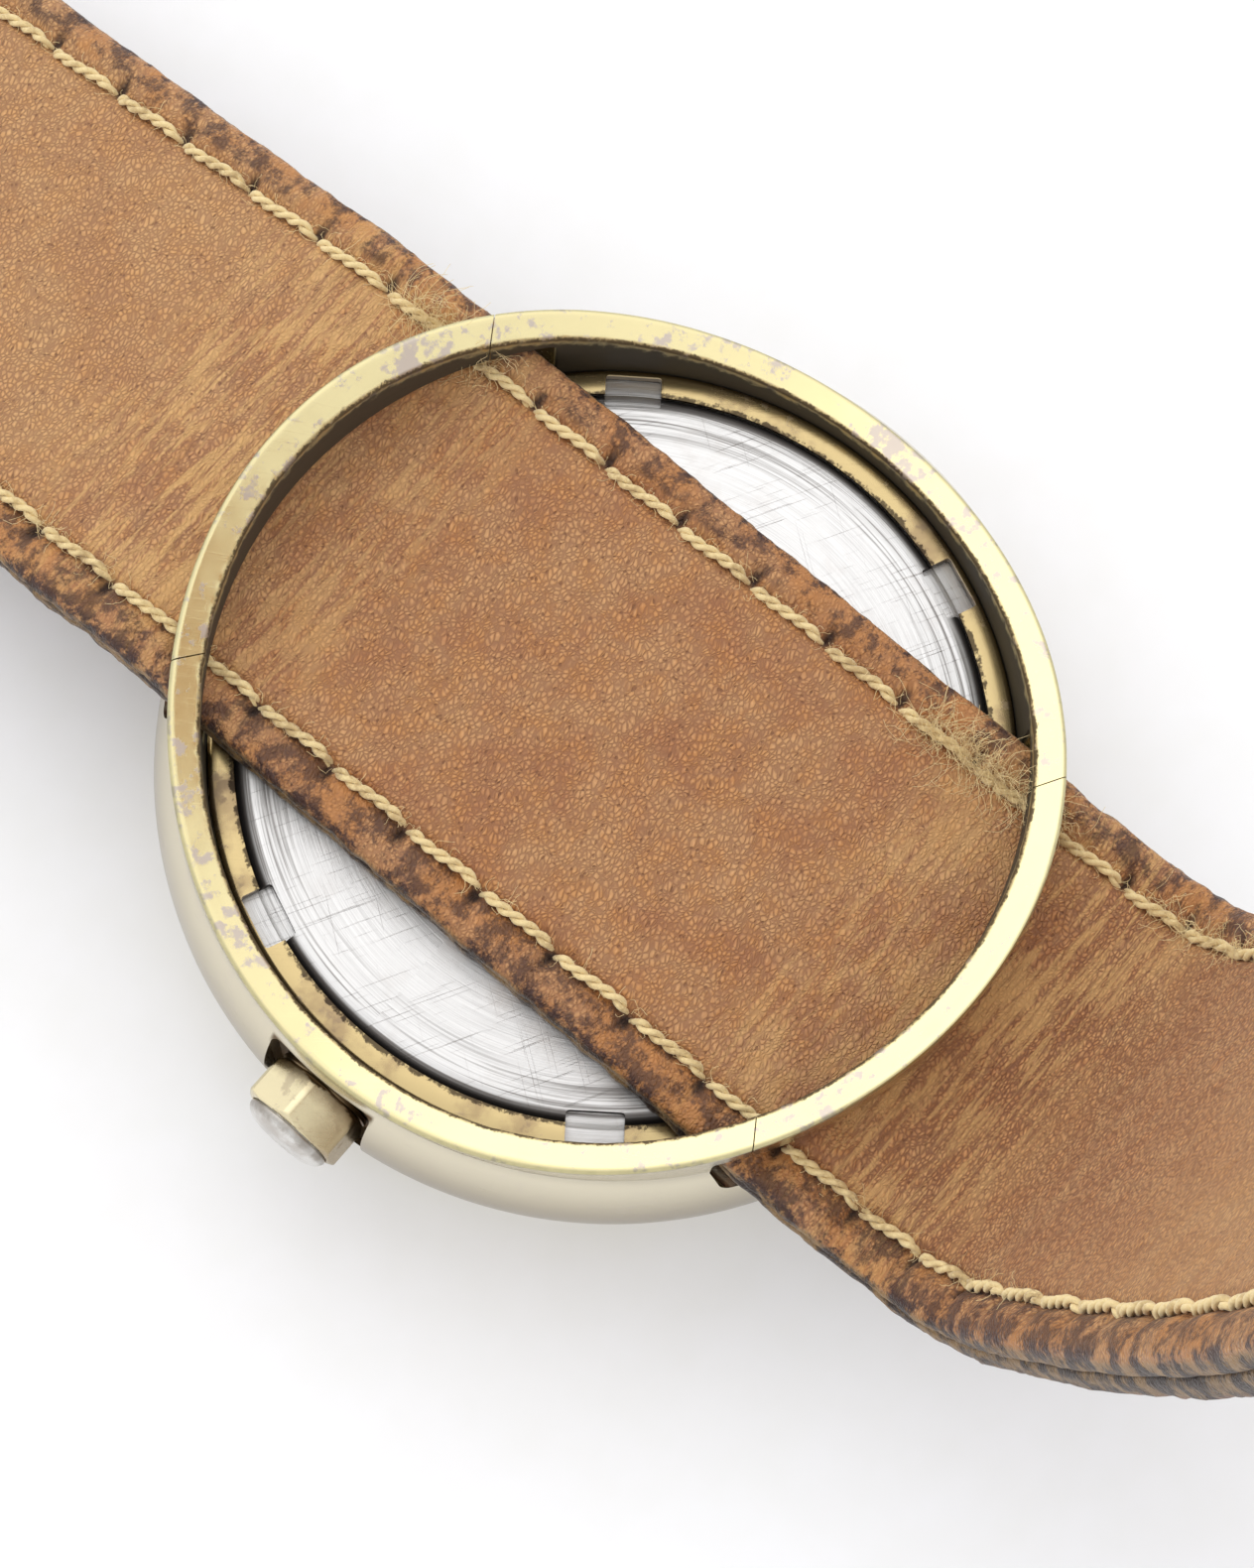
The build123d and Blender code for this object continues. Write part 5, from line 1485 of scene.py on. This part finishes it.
def makeDialPrint():
    size = dialPrint
    ink = Finish("dialInk", Roughness=0.45)
    speck = ink.cloud(ink.place(), 9.0, 3)
    ink.set(Base_Color=ink.blend(speck, size["ink"], tuple(c * 1.7 for c in size["ink"])),
            Roughness=0.4 + speck * 0.15)
    tree = markTree()
    shapes = bmesh.new()
    for key in ("minutes", "seconds", "tens"):
        (x, y), radius, count, length, width = size[key]
        guide = guideCurve("markGuide", [[(0, 0, 0), (0, 0, 1)]])
        mesh = tree.run(guide, {"Count": count, "Radius": radius * mm, "Length": length * mm,
                                "Width": width * mm, "Thick": size["thick"] * mm, "Ink": ink.material})
        mesh.transform(Matrix.Translation(Vector((x, y, size["at"])) * mm))
        shapes.from_mesh(mesh)
        removeAll(guide)
    mesh = bpy.data.meshes.new("dialPrint")
    shapes.to_mesh(mesh)
    shapes.free()
    marks = bpy.data.objects.new("dialPrint", mesh)
    scene.collection.objects.link(marks)
    finishPiece(marks, ink.material, "case", "dial_cream")


makeDialPrint()
print("dial printed")


# finishes of the CAD pieces that are shown as they are
def plainMetal(name, colour, rough, stripes=0.0):
    metal = Finish(name, Metallic=1.0)
    at = metal.place()
    x, y, _ = metal.parts(at)
    fine = metal.cloud(metal.scaled(at, 1.0, 6.0, 1.0), 6.0, 3, 0.6)
    haze = metal.cloud(at, 0.8, 3, 0.5)
    tone = metal.blend(haze.ramp(0.3, 0.7) * 0.5, colour, tuple(c * 0.8 for c in colour))
    height = fine * 0.4
    level = rough + haze * 0.1 + fine * 0.08
    if stripes:
        wave = (x * 1.6 + y * 1.2).maths("SINE") * 0.5 + 0.5
        height = height + wave * stripes
        tone = metal.blend(wave * 0.25, tone, tuple(c * 0.75 for c in colour))
    return metal.set(Base_Color=tone, Roughness=level, Normal=metal.relief(height, 0.01, strength=0.6))


def glassFinish():
    clear = Finish("clearCrystal", IOR=1.49)
    clear.shader.inputs["Transmission Weight"].default_value = 1.0
    at = clear.place()
    scuffs = clear.cloud(clear.scaled(at, 0.4, 6.0, 1.0), 2.0, 3, 0.6)
    tone = clear.blend(scuffs.ramp(0.4, 0.8) * 0.2, (1.0, 1.0, 1.0), (0.93, 0.94, 0.92))
    return clear.set(Base_Color=tone, Roughness=0.02 + scuffs.ramp(0.6, 0.7) * 0.05)


def rubberFinish():
    seal = Finish("blackSealRubber")
    dust = seal.cloud(seal.place(), 3.0, 3)
    return seal.set(Base_Color=seal.blend(dust, (0.02, 0.02, 0.02), (0.06, 0.055, 0.05)),
                    Roughness=0.6 + dust * 0.2, Normal=seal.relief(dust, 0.02))


def dialFinish():
    cream = Finish("creamDialLacquer")
    at = cream.place()
    radius = around(cream, at)[0]
    fine = cream.cloud(at, 12.0, 3, 0.6)
    age = cream.cloud(at, 0.35, 4, 0.6)
    tone = cream.blend((age * 0.7 + radius / 60).ramp(0.4, 0.75), (0.80, 0.74, 0.58), (0.66, 0.55, 0.36))
    tone = cream.blend(fine.ramp(0.62, 0.75) * 0.35, tone, (0.40, 0.30, 0.18))
    return cream.set(Base_Color=tone, Roughness=0.32 + fine * 0.1,
                     Normal=cream.relief(fine, 0.01, strength=0.4))


def rubyFinish():
    ruby = Finish("rubyJewel", IOR=1.76)
    veil = ruby.cloud(ruby.place(), 4.0, 2)
    tone = ruby.blend(veil, (0.50, 0.01, 0.05), (0.75, 0.05, 0.12))
    return ruby.set(Base_Color=tone, Roughness=0.06 + veil * 0.05)


slotFinishes = {
    "gold_plate": goldCrown, "gold_ring": goldRing, "steel_back": backSteel,
    "polished_steel": plainMetal("polishedSteel", (0.78, 0.78, 0.80), 0.16),
    "crystal_clear": glassFinish(), "seal_rubber": rubberFinish(), "dial_cream": dialFinish(),
    "gilt": plainMetal("giltBrass", (0.82, 0.62, 0.28), 0.2),
    "movement_nickel": plainMetal("stripedNickel", (0.74, 0.72, 0.68), 0.25, 1.5),
    "wheel_brass": plainMetal("wheelBrass", (0.80, 0.60, 0.26), 0.24),
    "spring_steel": plainMetal("bluedSpring", (0.20, 0.25, 0.48), 0.22),
    "ruby": rubyFinish(), "strap_back_leather": outerLeather, "buckle_gold": goldBuckle,
}
slotOf = {row["node"]: row["material_slot"] for row in frame["record"]["subparts"]}
for name, node in frame["nodes"].items():
    finish = slotFinishes.get(slotOf[name])
    if finish and not node.hide_render:
        node.data.materials.clear()
        node.data.materials.append(finish)
print("finishes set")
